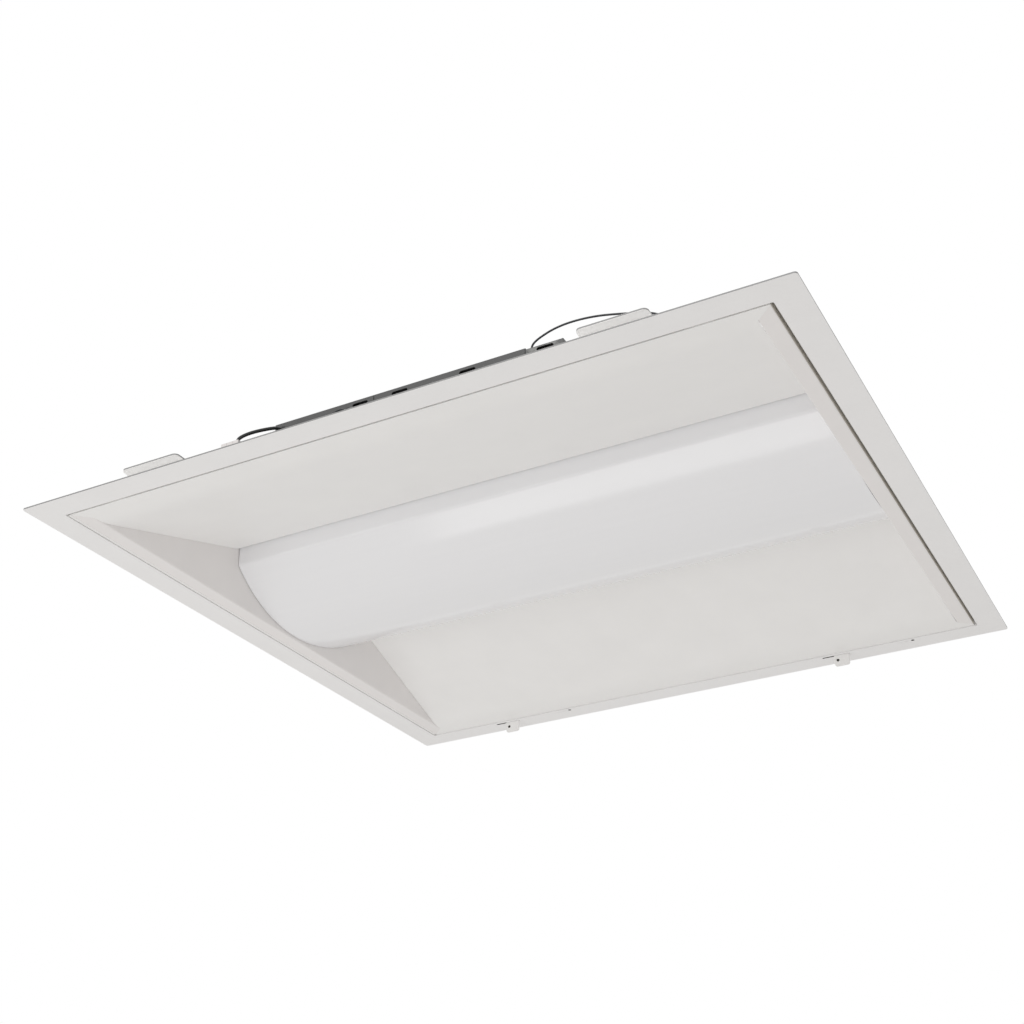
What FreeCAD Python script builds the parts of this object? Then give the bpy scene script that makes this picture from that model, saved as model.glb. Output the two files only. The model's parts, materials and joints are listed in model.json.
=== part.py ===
import FreeCAD
import Part
import math
import os

# Recessed square troffer light with a flanged trim frame for a plasterboard ceiling.
# Millimetres. The origin is the centre of the ceiling cut-out, in the plane where the
# back of the flange meets the ceiling. +Z points up into the ceiling void, X runs along
# the diffuser and the door hinges about an axis along X on the -Y side.

# Trim frame
flange_side = 640.0
flange_width = 23.5
flange_t = 1.2
flange_corner_r = 2.5
collar_t = 1.2
collar_height = 10.8

# Door
reveal = 3.0
door_recess = 0.6
door_sheet_t = 0.8
door_bend_r = 0.6
door_lip_height = 7.4
side_border = 23.5
end_border = 13.0
reflector_angle = 15.64
reflector_bend_r = 72.0
end_panel_angle = 13.2
mitre_gap = 0.2
panel_fit = 0.3
panel_margin = 3.5
panel_shoulder = 8.0
panel_return = 7.0
gusset_reach = 30.0
gusset_t = 1.0
gusset_margin = 1.5
rivet_r = 2.0
rivet_height = 1.0
rivet_spread = 18.0

# Diffuser
lens_width = 213.0
lens_fit = 0.3
lens_t = 2.0
lens_drop = 33.0
lens_flank = 12.4
lens_flange_width = 5.0
lens_end_gap = 0.6
hem_height = 4.0
clip_length = 18.0
clip_t = 0.6
clip_spacing = 420.0
clip_foot = 10.0
clip_fit = 0.4
clip_bend_r = 0.3

# Housing over the diffuser
housing_clip_gap = 4.7
housing_end_gap = 6.5
housing_rise = 13.6
housing_wall_depth = 12.8
housing_t = 1.0
housing_bend_r = 1.5
sheet_bend_r = 0.8
small_bend_r = 0.5
end_plate_width = 230.0
end_plate_lean = 8.0
end_plate_flange = 16.0

# Light engine
tray_width = 208.0
tray_end_gap = 17.0
tray_drop = 4.0
tray_flange = 10.0
board_end_gap = 8.0
board_width = 24.0
board_t = 1.6
board_spacing = 62.0
board_count = 3
led_pitch = 17.5
led_length = 5.0
led_width = 4.0
led_height = 0.8
board_screw_pitches = 2.2
board_screw_inset = 4.0
board_screw_r = 2.4
board_screw_height = 1.4

# Driver shelf and far bridge
shelf_length = 240.0
shelf_t = 1.0
shelf_clearance = 3.0
shelf_ramp = 13.7
shelf_margin = 4.0
foot_z = 3.0
over_collar = 0.8
wall_lap = 9.0
bridge_length = 120.0
bridge_window = 60.0
lead_hole_r = 3.0

# Driver box
box_length = 253.0
box_end_length = 31.0
box_width = 50.0
box_setback = 42.5
box_height = 31.5
box_t = 0.8
box_joint_x = -35.0
box_joint_gap = 0.6
end_box_drop = 1.2
wall_slot_length = 14.0
wall_slot_height = 3.6
wall_slot_z = 26.4
wall_slot_offsets = (-12.5, 23.0, 82.0)
box_fit = 0.2
box_end_gap = 0.5
small_screw_r = 2.8
small_screw_height = 1.6
cover_screw_inset = 9.0
driver_end_gap = 18.0
driver_width = 30.0
driver_height = 21.0
driver_inset = 14.0
driver_corner_r = 2.5
driver_foot = 7.0
driver_foot_width = 18.0
driver_foot_t = 2.0
terminal_length = 22.0
terminal_width = 28.0
terminal_height = 15.0
terminal_bore_r = 1.6
terminal_bore_z = 5.0
terminal_well_r = 2.0
terminal_inset = 3.0
terminal_ways = 3
lead_fit = 0.1
grommet_wall = 0.9
grommet_lip = 1.1
grommet_lip_t = 1.4

# Swing clamps
clamp_pivot_inset = 19.5
clamp_near_inset = 101.0
clamp_far_inset = 41.5
clamp_bracket_z = 9.3
clamp_bracket_t = 1.2
clamp_bracket_width = 20.0
clamp_bracket_reach = 9.0
clamp_screw_r = 2.0
clamp_screw_top = 29.8
clamp_head_r = 4.0
clamp_head_t = 2.6
clamp_slot_width = 1.0
clamp_slot_depth = 1.0
wing_rest_z = 13.8
wing_t = 1.6
wing_span = 55.0
wing_offset = 8.8
wing_reach = 33.4
wing_corner_r = 4.0
wing_hub_r = 7.0
wing_slant = 2.0
wing_setback = 6.0
wing_waist_inset = 8.0
wing_rib_inset = 9.0
wing_rib_width = 5.0
wing_rib_height = 0.8
nut_boss_r = 4.0
nut_flange_r = 5.5
nut_flange_t = 0.8
nut_rim_r = 5.0
nut_rim_t = 3.0
turn_clearance = 0.05
thread_clearance = 0.1

# Hinge
hinge_inset = 51.5
pivot_inset = 6.5
pivot_z = 3.8
pin_r = 1.5
eye_r = 2.8
arm_t = 2.0
ear_t = 1.5
hinge_gap = 0.5
arm_foot_width = 14.0
arm_foot_z = 1.0
arm_neck_gap = 4.0
arm_notch_gap = 1.5
ear_foot_length = 12.0
ear_foot_width = 8.0
ear_foot_t = 0.9
pin_overhang = 1.0
pin_head_r = 2.6
pin_head_t = 1.0

# Slide latches
latch_insets = (88.8, 139.8)
latch_slot_length = 27.0
latch_slot_width = 2.2
latch_gap = 2.6
latch_pad_t = 0.2
latch_pad_margin = 1.0
latch_pad_width = 4.9
latch_plate_t = 1.5
latch_plate_length = 46.0
latch_plate_top = 10.0
latch_tab_width = 15.0
latch_tab_drop = 12.6
latch_tab_hole_r = 1.5
latch_tab_hole_inset = 3.5
latch_tab_corner_r = 2.5
latch_plate_corner_r = 1.5
latch_travel = 11.0
latch_play = 0.3
tongue_width = 9.0
tongue_z = 2.4
tongue_reach = 2.2
tongue_inset = 2.0
tongue_gap = 0.5
tongue_end_gap = 1.0
stud_r = 1.5
stud_head_r = 2.6
stud_head_t = 1.0
stud_fit = 0.1
stud_shoulder = 0.5
stud_inset = 4.0
stud_edge = 1.2
screw_hole_insets = (162.4, 63.2)
screw_hole_r = 1.6
slit_length = 10.0
slit_width = 0.8

# Supply connector and leads
connector_offset = 17.0
connector_width = 16.0
connector_length = 22.0
connector_height = 7.5
connector_setback = 1.0
connector_bore_depth = 8.0
mains_inset = 8.5
mains_entry_inset = 8.0
connector_ways = 3
connector_way_gap = 0.1
connector_bore_r = 1.5
connector_bore_z = 3.0
earth_inset = 68.5
earth_width = 12.0
earth_reach = 16.0
earth_screw_inset = 7.5
earth_ring_r = 3.4
earth_ring_t = 0.8
earth_neck_width = 3.2
earth_barrel = 5.0
earth_barrel_wall = 0.8
earth_grip = 1.0
mains_cable_d = 2.8
earth_lead_d = 1.6
led_lead_d = 1.6

# Values that follow from the sizes above
opening_half = flange_side / 2 - flange_width
collar_outer = opening_half + collar_t
door_half = opening_half - reveal
door_face_z = -flange_t + door_recess
door_back_z = door_face_z + door_sheet_t
door_lip_z = door_face_z + door_lip_height
knee_y = door_half - side_border
lens_half = lens_width / 2
reflector_slope = math.tan(math.radians(reflector_angle))
panel_slope = math.tan(math.radians(end_panel_angle))
reflector_top_z = door_face_z + reflector_slope * (knee_y - lens_half)
hem_top_z = reflector_top_z + hem_height
panel_top_z = hem_top_z - 1.0
panel_foot_x = door_half - end_border
housing_half = lens_half + door_sheet_t + clip_foot + housing_clip_gap
housing_top_z = hem_top_z + housing_rise
housing_low_z = housing_top_z - housing_wall_depth
pivot_y = -opening_half + pivot_inset
box_near_y = -opening_half + box_setback
box_rear_y = box_near_y + box_width
shelf_flat_end = -box_rear_y - shelf_margin
reflector_back_z = door_back_z + reflector_slope * (knee_y - shelf_flat_end)
shelf_z = reflector_back_z + shelf_clearance
shelf_top_z = shelf_z + shelf_t
box_top_z = shelf_top_z + box_height
box_left_x = -box_length / 2
box_right_x = box_length / 2
box_end_x = box_right_x - box_end_length
driver_length = box_end_x - box_left_x - driver_inset - driver_end_gap
connector_x = -shelf_length / 2 - connector_offset
clamp_y = opening_half - clamp_pivot_inset
clamp_near_x = opening_half - clamp_near_inset
clamp_far_x = opening_half - clamp_far_inset
hinge_x = opening_half - hinge_inset
latch_line_y = collar_outer + latch_gap
latch_base_z = latch_pad_t + latch_play
latch_x = (latch_insets[0] - opening_half, opening_half - latch_insets[1])
screw_hole_x = (screw_hole_insets[0] - opening_half, opening_half - screw_hole_insets[1])
housing_length = 2 * (opening_half - housing_end_gap)
tray_length = housing_length - 2 * tray_end_gap
board_length = tray_length - 2 * board_end_gap
earth_x = opening_half - earth_inset
earth_screw_y = earth_screw_inset - opening_half

os.makedirs("parts", exist_ok=True)
built = []


def save(name, shape):
    """Write one piece and note its name, its solids and whether it is sound."""
    shape.exportStep("parts/" + name + ".step")
    built.append(name)
    print(name, "solids", len(shape.Solids), "valid", shape.isValid(), "volume", round(shape.Volume, 1))


def vec(x, y, z):
    return FreeCAD.Vector(x, y, z)


def box(x0, x1, y0, y1, z0, z1):
    """Block between two corners, given in any order."""
    low = vec(min(x0, x1), min(y0, y1), min(z0, z1))
    return Part.makeBox(abs(x1 - x0), abs(y1 - y0), abs(z1 - z0), low)


def rod(r, start, direction, length):
    return Part.makeCylinder(r, length, vec(*start), vec(*direction))


def group(shapes):
    """Several separate solids in one node."""
    return Part.makeCompound(shapes)


def mirrored_x(shape):
    return shape.mirror(vec(0, 0, 0), vec(1, 0, 0))


def mirrored_y(shape):
    return shape.mirror(vec(0, 0, 0), vec(0, 1, 0))


def half_turn(shape):
    turned = shape.copy()
    turned.rotate(vec(0, 0, 0), vec(0, 0, 1), 180)
    return turned


def place_x(u, v):
    """Put a drawing in the YZ plane: u is Y and v is Z."""
    return vec(0, u, v)


def place_y(u, v):
    """Put a drawing in the XZ plane: u is X and v is Z."""
    return vec(u, 0, v)


def place_z(u, v):
    """Put a drawing in the XY plane."""
    return vec(u, v, 0)


def rounded_edges(points, radii, place):
    """Edges from the first point to the last, with an arc of its own radius at each inner point."""
    edges = []
    last = FreeCAD.Vector(points[0][0], points[0][1], 0)
    for i in range(1, len(points) - 1):
        corner = FreeCAD.Vector(points[i][0], points[i][1], 0)
        before = FreeCAD.Vector(points[i - 1][0], points[i - 1][1], 0)
        after = FreeCAD.Vector(points[i + 1][0], points[i + 1][1], 0)
        inward = (before - corner).normalize()
        onward = (after - corner).normalize()
        turn = math.pi - inward.getAngle(onward)
        if radii[i] <= 0 or turn < 1e-6:
            edges.append(Part.makeLine(place(last.x, last.y), place(corner.x, corner.y)))
            last = corner
            continue
        reach = radii[i] * math.tan(turn / 2)
        first = corner + inward * reach
        second = corner + onward * reach
        middle_way = (inward + onward).normalize()
        centre = corner + middle_way * (radii[i] / math.cos(turn / 2))
        middle = centre - middle_way * radii[i]
        if (first - last).Length > 1e-6:
            edges.append(Part.makeLine(place(last.x, last.y), place(first.x, first.y)))
        edges.append(Part.Arc(place(first.x, first.y), place(middle.x, middle.y),
                              place(second.x, second.y)).toShape())
        last = second
    edges.append(Part.makeLine(place(last.x, last.y), place(points[-1][0], points[-1][1])))
    return edges


def side_line(points, distance):
    """The same open line moved to its left by a distance, with mitred corners."""
    moved = []
    for i, (u, v) in enumerate(points):
        ways = []
        if i > 0:
            ways.append((u - points[i - 1][0], v - points[i - 1][1]))
        if i < len(points) - 1:
            ways.append((points[i + 1][0] - u, points[i + 1][1] - v))
        lefts = []
        for du, dv in ways:
            size = math.hypot(du, dv)
            lefts.append((-dv / size, du / size))
        nu = sum(left[0] for left in lefts)
        nv = sum(left[1] for left in lefts)
        size = math.hypot(nu, nv)
        nu, nv = nu / size, nv / size
        stretch = 1 / (nu * lefts[0][0] + nv * lefts[0][1])
        moved.append((u + nu * distance * stretch, v + nv * distance * stretch))
    return moved


def sheet_face(points, thickness, bends, place):
    """Cross-section of a folded sheet whose given side is the line, with the metal on its left.

    bends holds the inside radius at each point, or one radius for all of them.
    """
    count = len(points)
    inside = bends if isinstance(bends, (list, tuple)) else [bends] * count
    near_radii = [0.0] * count
    far_radii = [0.0] * count
    for i in range(1, count - 1):
        du0, dv0 = points[i][0] - points[i - 1][0], points[i][1] - points[i - 1][1]
        du1, dv1 = points[i + 1][0] - points[i][0], points[i + 1][1] - points[i][1]
        turns_left = du0 * dv1 - dv0 * du1 > 0
        near_radii[i] = inside[i] + (thickness if turns_left else 0)
        far_radii[i] = inside[i] + (0 if turns_left else thickness)
    other = side_line(points, thickness)
    near = rounded_edges(points, near_radii, place)
    far = rounded_edges(other, far_radii, place)
    start = Part.makeLine(place(*points[0]), place(*other[0]))
    end = Part.makeLine(place(*points[-1]), place(*other[-1]))
    ring = Part.Wire(Part.__sortEdges__(near + far + [start, end]))
    return Part.Face(ring)


def folded_sheet_x(points, thickness, bends, x0, x1):
    """Folded sheet with a constant YZ section between two X positions."""
    solid = sheet_face(points, thickness, bends, place_x).extrude(vec(x1 - x0, 0, 0))
    solid.translate(vec(x0, 0, 0))
    return solid


def folded_sheet_y(points, thickness, bends, y0, y1):
    """Folded sheet with a constant XZ section between two Y positions."""
    solid = sheet_face(points, thickness, bends, place_y).extrude(vec(0, y1 - y0, 0))
    solid.translate(vec(0, y0, 0))
    return solid


def polygon_face(points, place, radius=0.0):
    """Closed outline with every corner rounded by one radius."""
    if radius <= 0:
        corners = [place(u, v) for u, v in points]
        return Part.Face(Part.makePolygon(corners + [corners[0]]))
    middle = ((points[0][0] + points[-1][0]) / 2, (points[0][1] + points[-1][1]) / 2)
    loop = [middle] + list(points) + [middle]
    radii = [0.0] + [radius] * len(points) + [0.0]
    return Part.Face(Part.Wire(Part.__sortEdges__(rounded_edges(loop, radii, place))))


def prism_x(points, x0, x1, radius=0.0):
    solid = polygon_face(points, place_x, radius).extrude(vec(x1 - x0, 0, 0))
    solid.translate(vec(x0, 0, 0))
    return solid


def prism_y(points, y0, y1, radius=0.0):
    solid = polygon_face(points, place_y, radius).extrude(vec(0, y1 - y0, 0))
    solid.translate(vec(0, y0, 0))
    return solid


def prism_z(points, z0, z1, radius=0.0):
    solid = polygon_face(points, place_z, radius).extrude(vec(0, 0, z1 - z0))
    solid.translate(vec(0, 0, z0))
    return solid


def rounded_square(half, radius, z0, z1):
    corners = [(-half, -half), (half, -half), (half, half), (-half, half)]
    return prism_z(corners, z0, z1, radius)


def rounded_slot_y(x, z, length, height, y0, y1):
    """Slot with round ends, along X, cut through a wall that faces Y."""
    r = height / 2
    x0, x1 = x - length / 2, x + length / 2
    return prism_y([(x0, z - r), (x1, z - r), (x1, z + r), (x0, z + r)], y0, y1, r * 0.98)


def pan_head(x, y, z, r, height, up):
    """Low round head on a level face: a short rim and a cone to the flat top."""
    rim = height / 2
    profile = [vec(x, y, z), vec(x + r, y, z), vec(x + r, y, z + up * rim),
               vec(x + r - rim, y, z + up * height), vec(x, y, z + up * height), vec(x, y, z)]
    return Part.Face(Part.makePolygon(profile)).revolve(vec(x, y, z), vec(0, 0, up), 360)


def lead_path(points):
    """Straight runs joined by tangent arcs, each as large as its two runs allow."""
    places = [vec(*p) for p in points]
    edges = []
    radii = []
    last = places[0]
    for i in range(1, len(places) - 1):
        inward = (places[i - 1] - places[i]).normalize()
        onward = (places[i + 1] - places[i]).normalize()
        turn = math.pi - inward.getAngle(onward)
        shorter = min((places[i - 1] - places[i]).Length, (places[i + 1] - places[i]).Length)
        radius = 0.45 * shorter / math.tan(turn / 2)
        radii.append(radius)
        first = places[i] + inward * (0.45 * shorter)
        second = places[i] + onward * (0.45 * shorter)
        middle_way = (inward + onward).normalize()
        centre = places[i] + middle_way * (radius / math.cos(turn / 2))
        middle = centre - middle_way * radius
        edges.append(Part.LineSegment(last, first).toShape())
        edges.append(Part.Arc(first, middle, second).toShape())
        last = second
    edges.append(Part.LineSegment(last, places[-1]).toShape())
    return Part.Wire(edges), radii


def lead(name, points, diameter):
    """Round lead along its route, with its length, radii and volume printed."""
    wire, radii = lead_path(points)
    start = wire.Edges[0]
    along = start.tangentAt(start.FirstParameter)
    ring = Part.Wire(Part.makeCircle(diameter / 2, vec(*points[0]), along))
    tube = wire.makePipeShell([ring], True, False)
    section = math.pi * diameter ** 2 / 4
    print(name, "length", round(wire.Length, 1), "least radius", round(min(radii), 1),
          "radii", [round(r, 1) for r in radii],
          "volume share", round(tube.Volume / (section * wire.Length), 4))
    return tube


def trim_frame():
    """Welded steel flange and collar, with the latch slots and screw holes on the far side."""
    plate = rounded_square(flange_side / 2, flange_corner_r, -flange_t, 0)
    walls = rounded_square(collar_outer, flange_corner_r, -flange_t, collar_height)
    hole = rounded_square(opening_half, flange_corner_r - collar_t, -2 * flange_t, collar_height + 1)
    frame = plate.fuse(walls).cut(hole)
    for x in latch_x:
        half = latch_plate_length / 2 + latch_pad_margin
        frame = frame.fuse(box(x - half - latch_travel, x + half, collar_outer - 0.5 * collar_t,
                               collar_outer + latch_pad_width, 0, latch_pad_t))
        frame = frame.cut(box(x - latch_slot_length / 2, x + latch_slot_length / 2,
                              latch_line_y - latch_slot_width / 2, latch_line_y + latch_slot_width / 2,
                              -2 * flange_t, 1))
        low, high = tongue_span(x)
        frame = frame.cut(box(low - latch_travel - tongue_end_gap, high + tongue_end_gap,
                              opening_half - 1, collar_outer + 1,
                              tongue_z - tongue_gap, tongue_z + latch_plate_t + tongue_gap))
    for x in screw_hole_x:
        frame = frame.cut(rod(screw_hole_r, (x, latch_line_y, -2 * flange_t), (0, 0, 1), 4 * flange_t))
        slit_end = x - 2 * screw_hole_r - 1
        frame = frame.cut(box(slit_end - slit_length, slit_end,
                              latch_line_y - slit_width / 2, latch_line_y + slit_width / 2, -2 * flange_t, 1))
    return frame.removeSplitter()


def panel_face_x(z):
    """X of the visible face of the left end panel at a height."""
    return -panel_foot_x + panel_slope * (z - door_face_z)


def end_wedge(gap):
    """Everything to the left of the left end panel's visible face, less a fitting gap."""
    low, high = door_face_z - 10, hem_top_z + 30
    corners = [(-flange_side, low), (panel_face_x(low) + gap, low),
               (panel_face_x(high) + gap, high), (-flange_side, high)]
    return prism_y(corners, -flange_side, flange_side)


def mitre_corner(shift):
    """Plan triangle on the near side of the left mitre line, moved in Y by a gap."""
    out = 5.0
    rise = (knee_corner_y() + door_half) / end_border
    start = (-door_half - out, -door_half - out * rise + shift)
    inner = (-panel_foot_x, knee_corner_y() + shift)
    right_x = -panel_foot_x + out
    corners = [start, (right_x, -door_half - 4 * out), (right_x, knee_corner_y() + shift), inner]
    return prism_z(corners, door_face_z - 1, door_lip_z + 1)


def knee_corner_y():
    """Y where the near border meets the end border at the visible inner corner."""
    return -door_half + end_border


def latch_cut(x):
    """Entry and locking leg that a latch tongue needs in the door's far lip."""
    low, high = tongue_span(x)
    outer, inner = door_half + 1, door_half - door_sheet_t - 1
    under = tongue_z - tongue_gap
    entry = box(low - tongue_end_gap, high + tongue_end_gap, inner, outer, under, door_lip_z + 1)
    leg = box(low - latch_travel - tongue_end_gap, high, inner, outer,
              under, tongue_z + latch_plate_t + tongue_gap)
    return entry.fuse(leg)


def reflector(side):
    """One side of the door: lip, flat border, soft bend, slope and the hem that carries the lens."""
    line = [(-door_half, door_lip_z), (-door_half, door_face_z), (-knee_y, door_face_z),
            (-lens_half, reflector_top_z), (-lens_half, hem_top_z)]
    bends = [0, door_bend_r, reflector_bend_r, door_bend_r, 0]
    sheet = folded_sheet_x(line, door_sheet_t, bends, -door_half, door_half)
    ends = end_wedge(panel_fit).cut(mitre_corner(0))
    sheet = sheet.cut(ends).cut(mirrored_x(ends))
    if side == "near":
        for x in (-hinge_x, hinge_x):
            gap = arm_foot_width / 2 + arm_notch_gap
            sheet = sheet.cut(box(x - gap, x + gap, -door_half - 1, -door_half + door_sheet_t + small_bend_r,
                                  door_back_z, door_lip_z + 1))
        return sheet
    sheet = mirrored_y(sheet)
    for x in latch_x:
        sheet = sheet.cut(latch_cut(x))
    return sheet


def end_panel():
    """Left end of the door: lip, flat border, leaning face and a return along its top."""
    top_x = panel_face_x(panel_top_z)
    line = [(-door_half, door_lip_z), (-door_half, door_face_z), (-panel_foot_x, door_face_z),
            (top_x, panel_top_z), (top_x - panel_return, panel_top_z)]
    sheet = folded_sheet_y(line, door_sheet_t, door_bend_r, -door_half, door_half)
    corner = mitre_corner(mitre_gap)
    sheet = sheet.cut(corner).cut(mirrored_y(corner))
    foot = door_face_z + panel_margin
    shoulder = lens_half + panel_shoulder
    far_out = -door_half - 20
    high = panel_top_z + 20
    above = prism_x([(far_out, foot), (-knee_y, foot), (-shoulder, panel_top_z + 1),
                     (-shoulder, high), (far_out, high)], -panel_foot_x + 0.4, 0)
    mitre_y = knee_corner_y() + mitre_gap
    near_side = box(-panel_foot_x, 0, far_out, mitre_y, door_face_z - 1, high)
    tail = above.fuse(near_side)
    return sheet.cut(tail).cut(mirrored_y(tail))


def lens():
    """Convex frosted diffuser with short flanks and a flange that rests on both hems."""
    w = lens_half - lens_fit
    flank_z = hem_top_z - lens_flank
    sag = lens_drop
    radius = (w * w + sag * sag) / (2 * sag)
    low_z = flank_z - sag
    centre_z = low_z + radius
    inner_w = w - lens_t
    inner_z = centre_z - math.sqrt((radius - lens_t) ** 2 - inner_w ** 2)
    top_z = hem_top_z + lens_t
    rim = w + lens_flange_width
    outer = Part.Arc(place_x(-w, flank_z), place_x(0, low_z), place_x(w, flank_z)).toShape()
    middle = place_x(0, low_z + lens_t)
    inner = Part.Arc(place_x(inner_w, inner_z), middle, place_x(-inner_w, inner_z)).toShape()
    right = [(w, flank_z), (w, hem_top_z), (rim, hem_top_z),
             (rim, top_z), (inner_w, top_z), (inner_w, inner_z)]
    edges = [outer, inner]
    for side in (1, -1):
        for a, b in zip(right, right[1:]):
            edges.append(Part.makeLine(place_x(side * a[0], a[1]), place_x(side * b[0], b[1])))
    face = Part.Face(Part.Wire(Part.__sortEdges__(edges)))
    solid = face.extrude(vec(flange_side, 0, 0))
    solid.translate(vec(-flange_side / 2, 0, 0))
    wedge = end_wedge(lens_end_gap)
    return solid.cut(wedge).cut(mirrored_x(wedge))


def lens_clip(x, side):
    """Spring clip: a foot on the back of the reflector and a finger over the lens flange."""
    lap = lens_half + door_sheet_t
    foot_y = lap + clip_foot
    sheet_rise = door_sheet_t / math.cos(math.radians(reflector_angle))
    foot_z = door_face_z + reflector_slope * (knee_y - foot_y) + sheet_rise
    heel_y = lens_half - lens_fit + lens_flange_width + clip_fit
    heel_z = foot_z + reflector_slope * (foot_y - heel_y)
    finger_z = hem_top_z + lens_t
    line = [(-foot_y, foot_z), (-heel_y, heel_z), (-heel_y, finger_z), (-lens_half + clip_fit, finger_z)]
    clip = folded_sheet_x(line, clip_t, clip_bend_r, x - clip_length / 2, x + clip_length / 2)
    return clip if side < 0 else mirrored_y(clip)


def housing_channel():
    line = [(housing_half, housing_low_z), (housing_half, housing_top_z),
            (-housing_half, housing_top_z), (-housing_half, housing_low_z)]
    return folded_sheet_x(line, housing_t, housing_bend_r, -housing_length / 2, housing_length / 2)


def housing_end():
    """Left end of the housing: a foot on the collar, a leaning wall and a flange under the top."""
    top = housing_top_z - housing_t
    foot_x = collar_outer
    shoulder_z = collar_height + over_collar
    line = [(-foot_x, foot_z), (-foot_x, shoulder_z), (-foot_x + end_plate_lean, top - housing_t),
            (-foot_x + end_plate_lean + end_plate_flange, top - housing_t)]
    bends = [0, housing_bend_r, housing_bend_r, 0]
    return folded_sheet_y(line, housing_t, bends, -end_plate_width / 2, end_plate_width / 2)


def led_tray():
    """Hat-shaped tray under the housing top, with its middle lowered for the boards."""
    top = housing_top_z - housing_t
    half = tray_width / 2
    step = half - tray_flange
    floor = top - tray_drop - housing_t
    line = [(-half, top - housing_t), (-step, top - housing_t), (-step + tray_drop, floor),
            (step - tray_drop, floor), (step, top - housing_t), (half, top - housing_t)]
    return folded_sheet_x(line, housing_t, sheet_bend_r, -tray_length / 2, tray_length / 2)


def tray_floor_z():
    return housing_top_z - 2 * housing_t - tray_drop


def board_rows():
    first = -(board_count - 1) * board_spacing / 2
    return [first + i * board_spacing for i in range(board_count)]


def led_board(y):
    z = tray_floor_z()
    return box(-board_length / 2, board_length / 2, y - board_width / 2, y + board_width / 2, z - board_t, z)


def led_chips():
    """Surface-mounted packages in even rows along every board."""
    z = tray_floor_z() - board_t
    count = int(board_length // led_pitch)
    first = -(count - 1) * led_pitch / 2
    chips = []
    for y in board_rows():
        for i in range(count):
            x = first + i * led_pitch
            chips.append(box(x - led_length / 2, x + led_length / 2, y - led_width / 2, y + led_width / 2,
                             z - led_height, z))
    return group(chips)


def board_screws():
    z = tray_floor_z() - board_t
    heads = []
    for y in board_rows():
        reach = board_length / 2 - board_screw_pitches * led_pitch
        for x in (-reach, reach):
            heads.append(pan_head(x, y + board_width / 2 - board_screw_inset, z,
                                  board_screw_r, board_screw_height, -1))
    return group(heads)


def driver_shelf():
    """Folded shelf that bridges the near reflector from the collar to the housing and carries the box."""
    line = [(-collar_outer, foot_z), (-collar_outer, collar_height + over_collar),
            (-collar_outer + shelf_ramp, shelf_z), (-shelf_flat_end, shelf_z),
            (-housing_half, housing_low_z), (-housing_half, housing_low_z + wall_lap)]
    bends = [0, sheet_bend_r, housing_bend_r, housing_bend_r, housing_bend_r, 0]
    shelf = folded_sheet_x(line, shelf_t, bends, -shelf_length / 2, shelf_length / 2)
    return shelf.cut(rod(lead_hole_r, (led_route[-1][0], led_route[-1][1], 0), (0, 0, 1), housing_top_z))


def far_bridge():
    """Strap from the far side of the collar to the housing."""
    line = [(-collar_outer, foot_z), (-collar_outer, collar_height + over_collar),
            (-housing_half, housing_low_z), (-housing_half, housing_low_z + wall_lap)]
    strap = folded_sheet_x(line, shelf_t, sheet_bend_r, -bridge_length / 2, bridge_length / 2)
    middle_y = (collar_outer + housing_half) / 2
    half = bridge_window / 2
    window = box(-half, half, -middle_y - half, -middle_y + half, 0, housing_top_z)
    return mirrored_y(strap.cut(window))


def box_base():
    """Tray of the driver box: a floor with two upturned ends."""
    wall_top = shelf_top_z + box_height / 2
    line = [(box_left_x, wall_top), (box_left_x, shelf_top_z),
            (box_right_x, shelf_top_z), (box_right_x, wall_top)]
    inset = box_t + box_fit
    return folded_sheet_y(line, box_t, small_bend_r, box_near_y + inset, box_rear_y - inset)


def box_cover(x0, x1, top_z):
    """Inverted channel over the driver, open at both ends."""
    foot = shelf_top_z + box_fit
    line = [(box_rear_y, foot), (box_rear_y, top_z), (box_near_y, top_z), (box_near_y, foot)]
    return folded_sheet_x(line, box_t, sheet_bend_r, x0, x1)


def cover_slot(x):
    z = shelf_top_z + wall_slot_z
    return rounded_slot_y(x, z, wall_slot_length, wall_slot_height, box_near_y - 1, box_near_y + box_t + 1)


def cover_end(x0, top_z):
    """End wall of a cover, down to the upturned end of the base."""
    return box(x0, x0 + box_t, box_near_y + box_t, box_rear_y - box_t,
               shelf_top_z + box_height / 2 + box_end_gap, top_z - box_t / 2)


def wall_hole(point, lead_d):
    """Hole in the near wall of the box for a lead and the sleeve round it."""
    start = (point[0], box_near_y - 1, point[2])
    return rod(lead_d / 2 + grommet_wall + lead_fit, start, (0, 1, 0), 5 * box_t)


def box_cover_left():
    cover = box_cover(box_left_x, box_joint_x - box_joint_gap / 2, box_top_z)
    cover = cover.fuse(cover_end(box_left_x, box_top_z)).removeSplitter()
    cover = cover.cut(cover_slot(box_joint_x + wall_slot_offsets[0]))
    return cover.cut(wall_hole(mains_route[-1], mains_cable_d)).cut(wall_hole(led_route[0], led_lead_d))


def box_cover_right():
    cover = box_cover(box_joint_x + box_joint_gap / 2, box_end_x, box_top_z)
    for offset in wall_slot_offsets[1:]:
        cover = cover.cut(cover_slot(box_joint_x + offset))
    return cover


def box_end_cover():
    """Lighter connection end, a little lower than the covers, with its service slot."""
    top = box_top_z - end_box_drop
    cover = box_cover(box_end_x + box_joint_gap, box_right_x, top)
    cover = cover.fuse(cover_end(box_right_x - box_t, top)).removeSplitter()
    cover = cover.cut(cover_slot(box_right_x - box_end_length / 2 + 1))
    entry = earth_route[0]
    return cover.cut(rod(earth_lead_d / 2 + grommet_wall, (entry[0], entry[1], top - 3), (0, 0, 1), 6))


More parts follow.
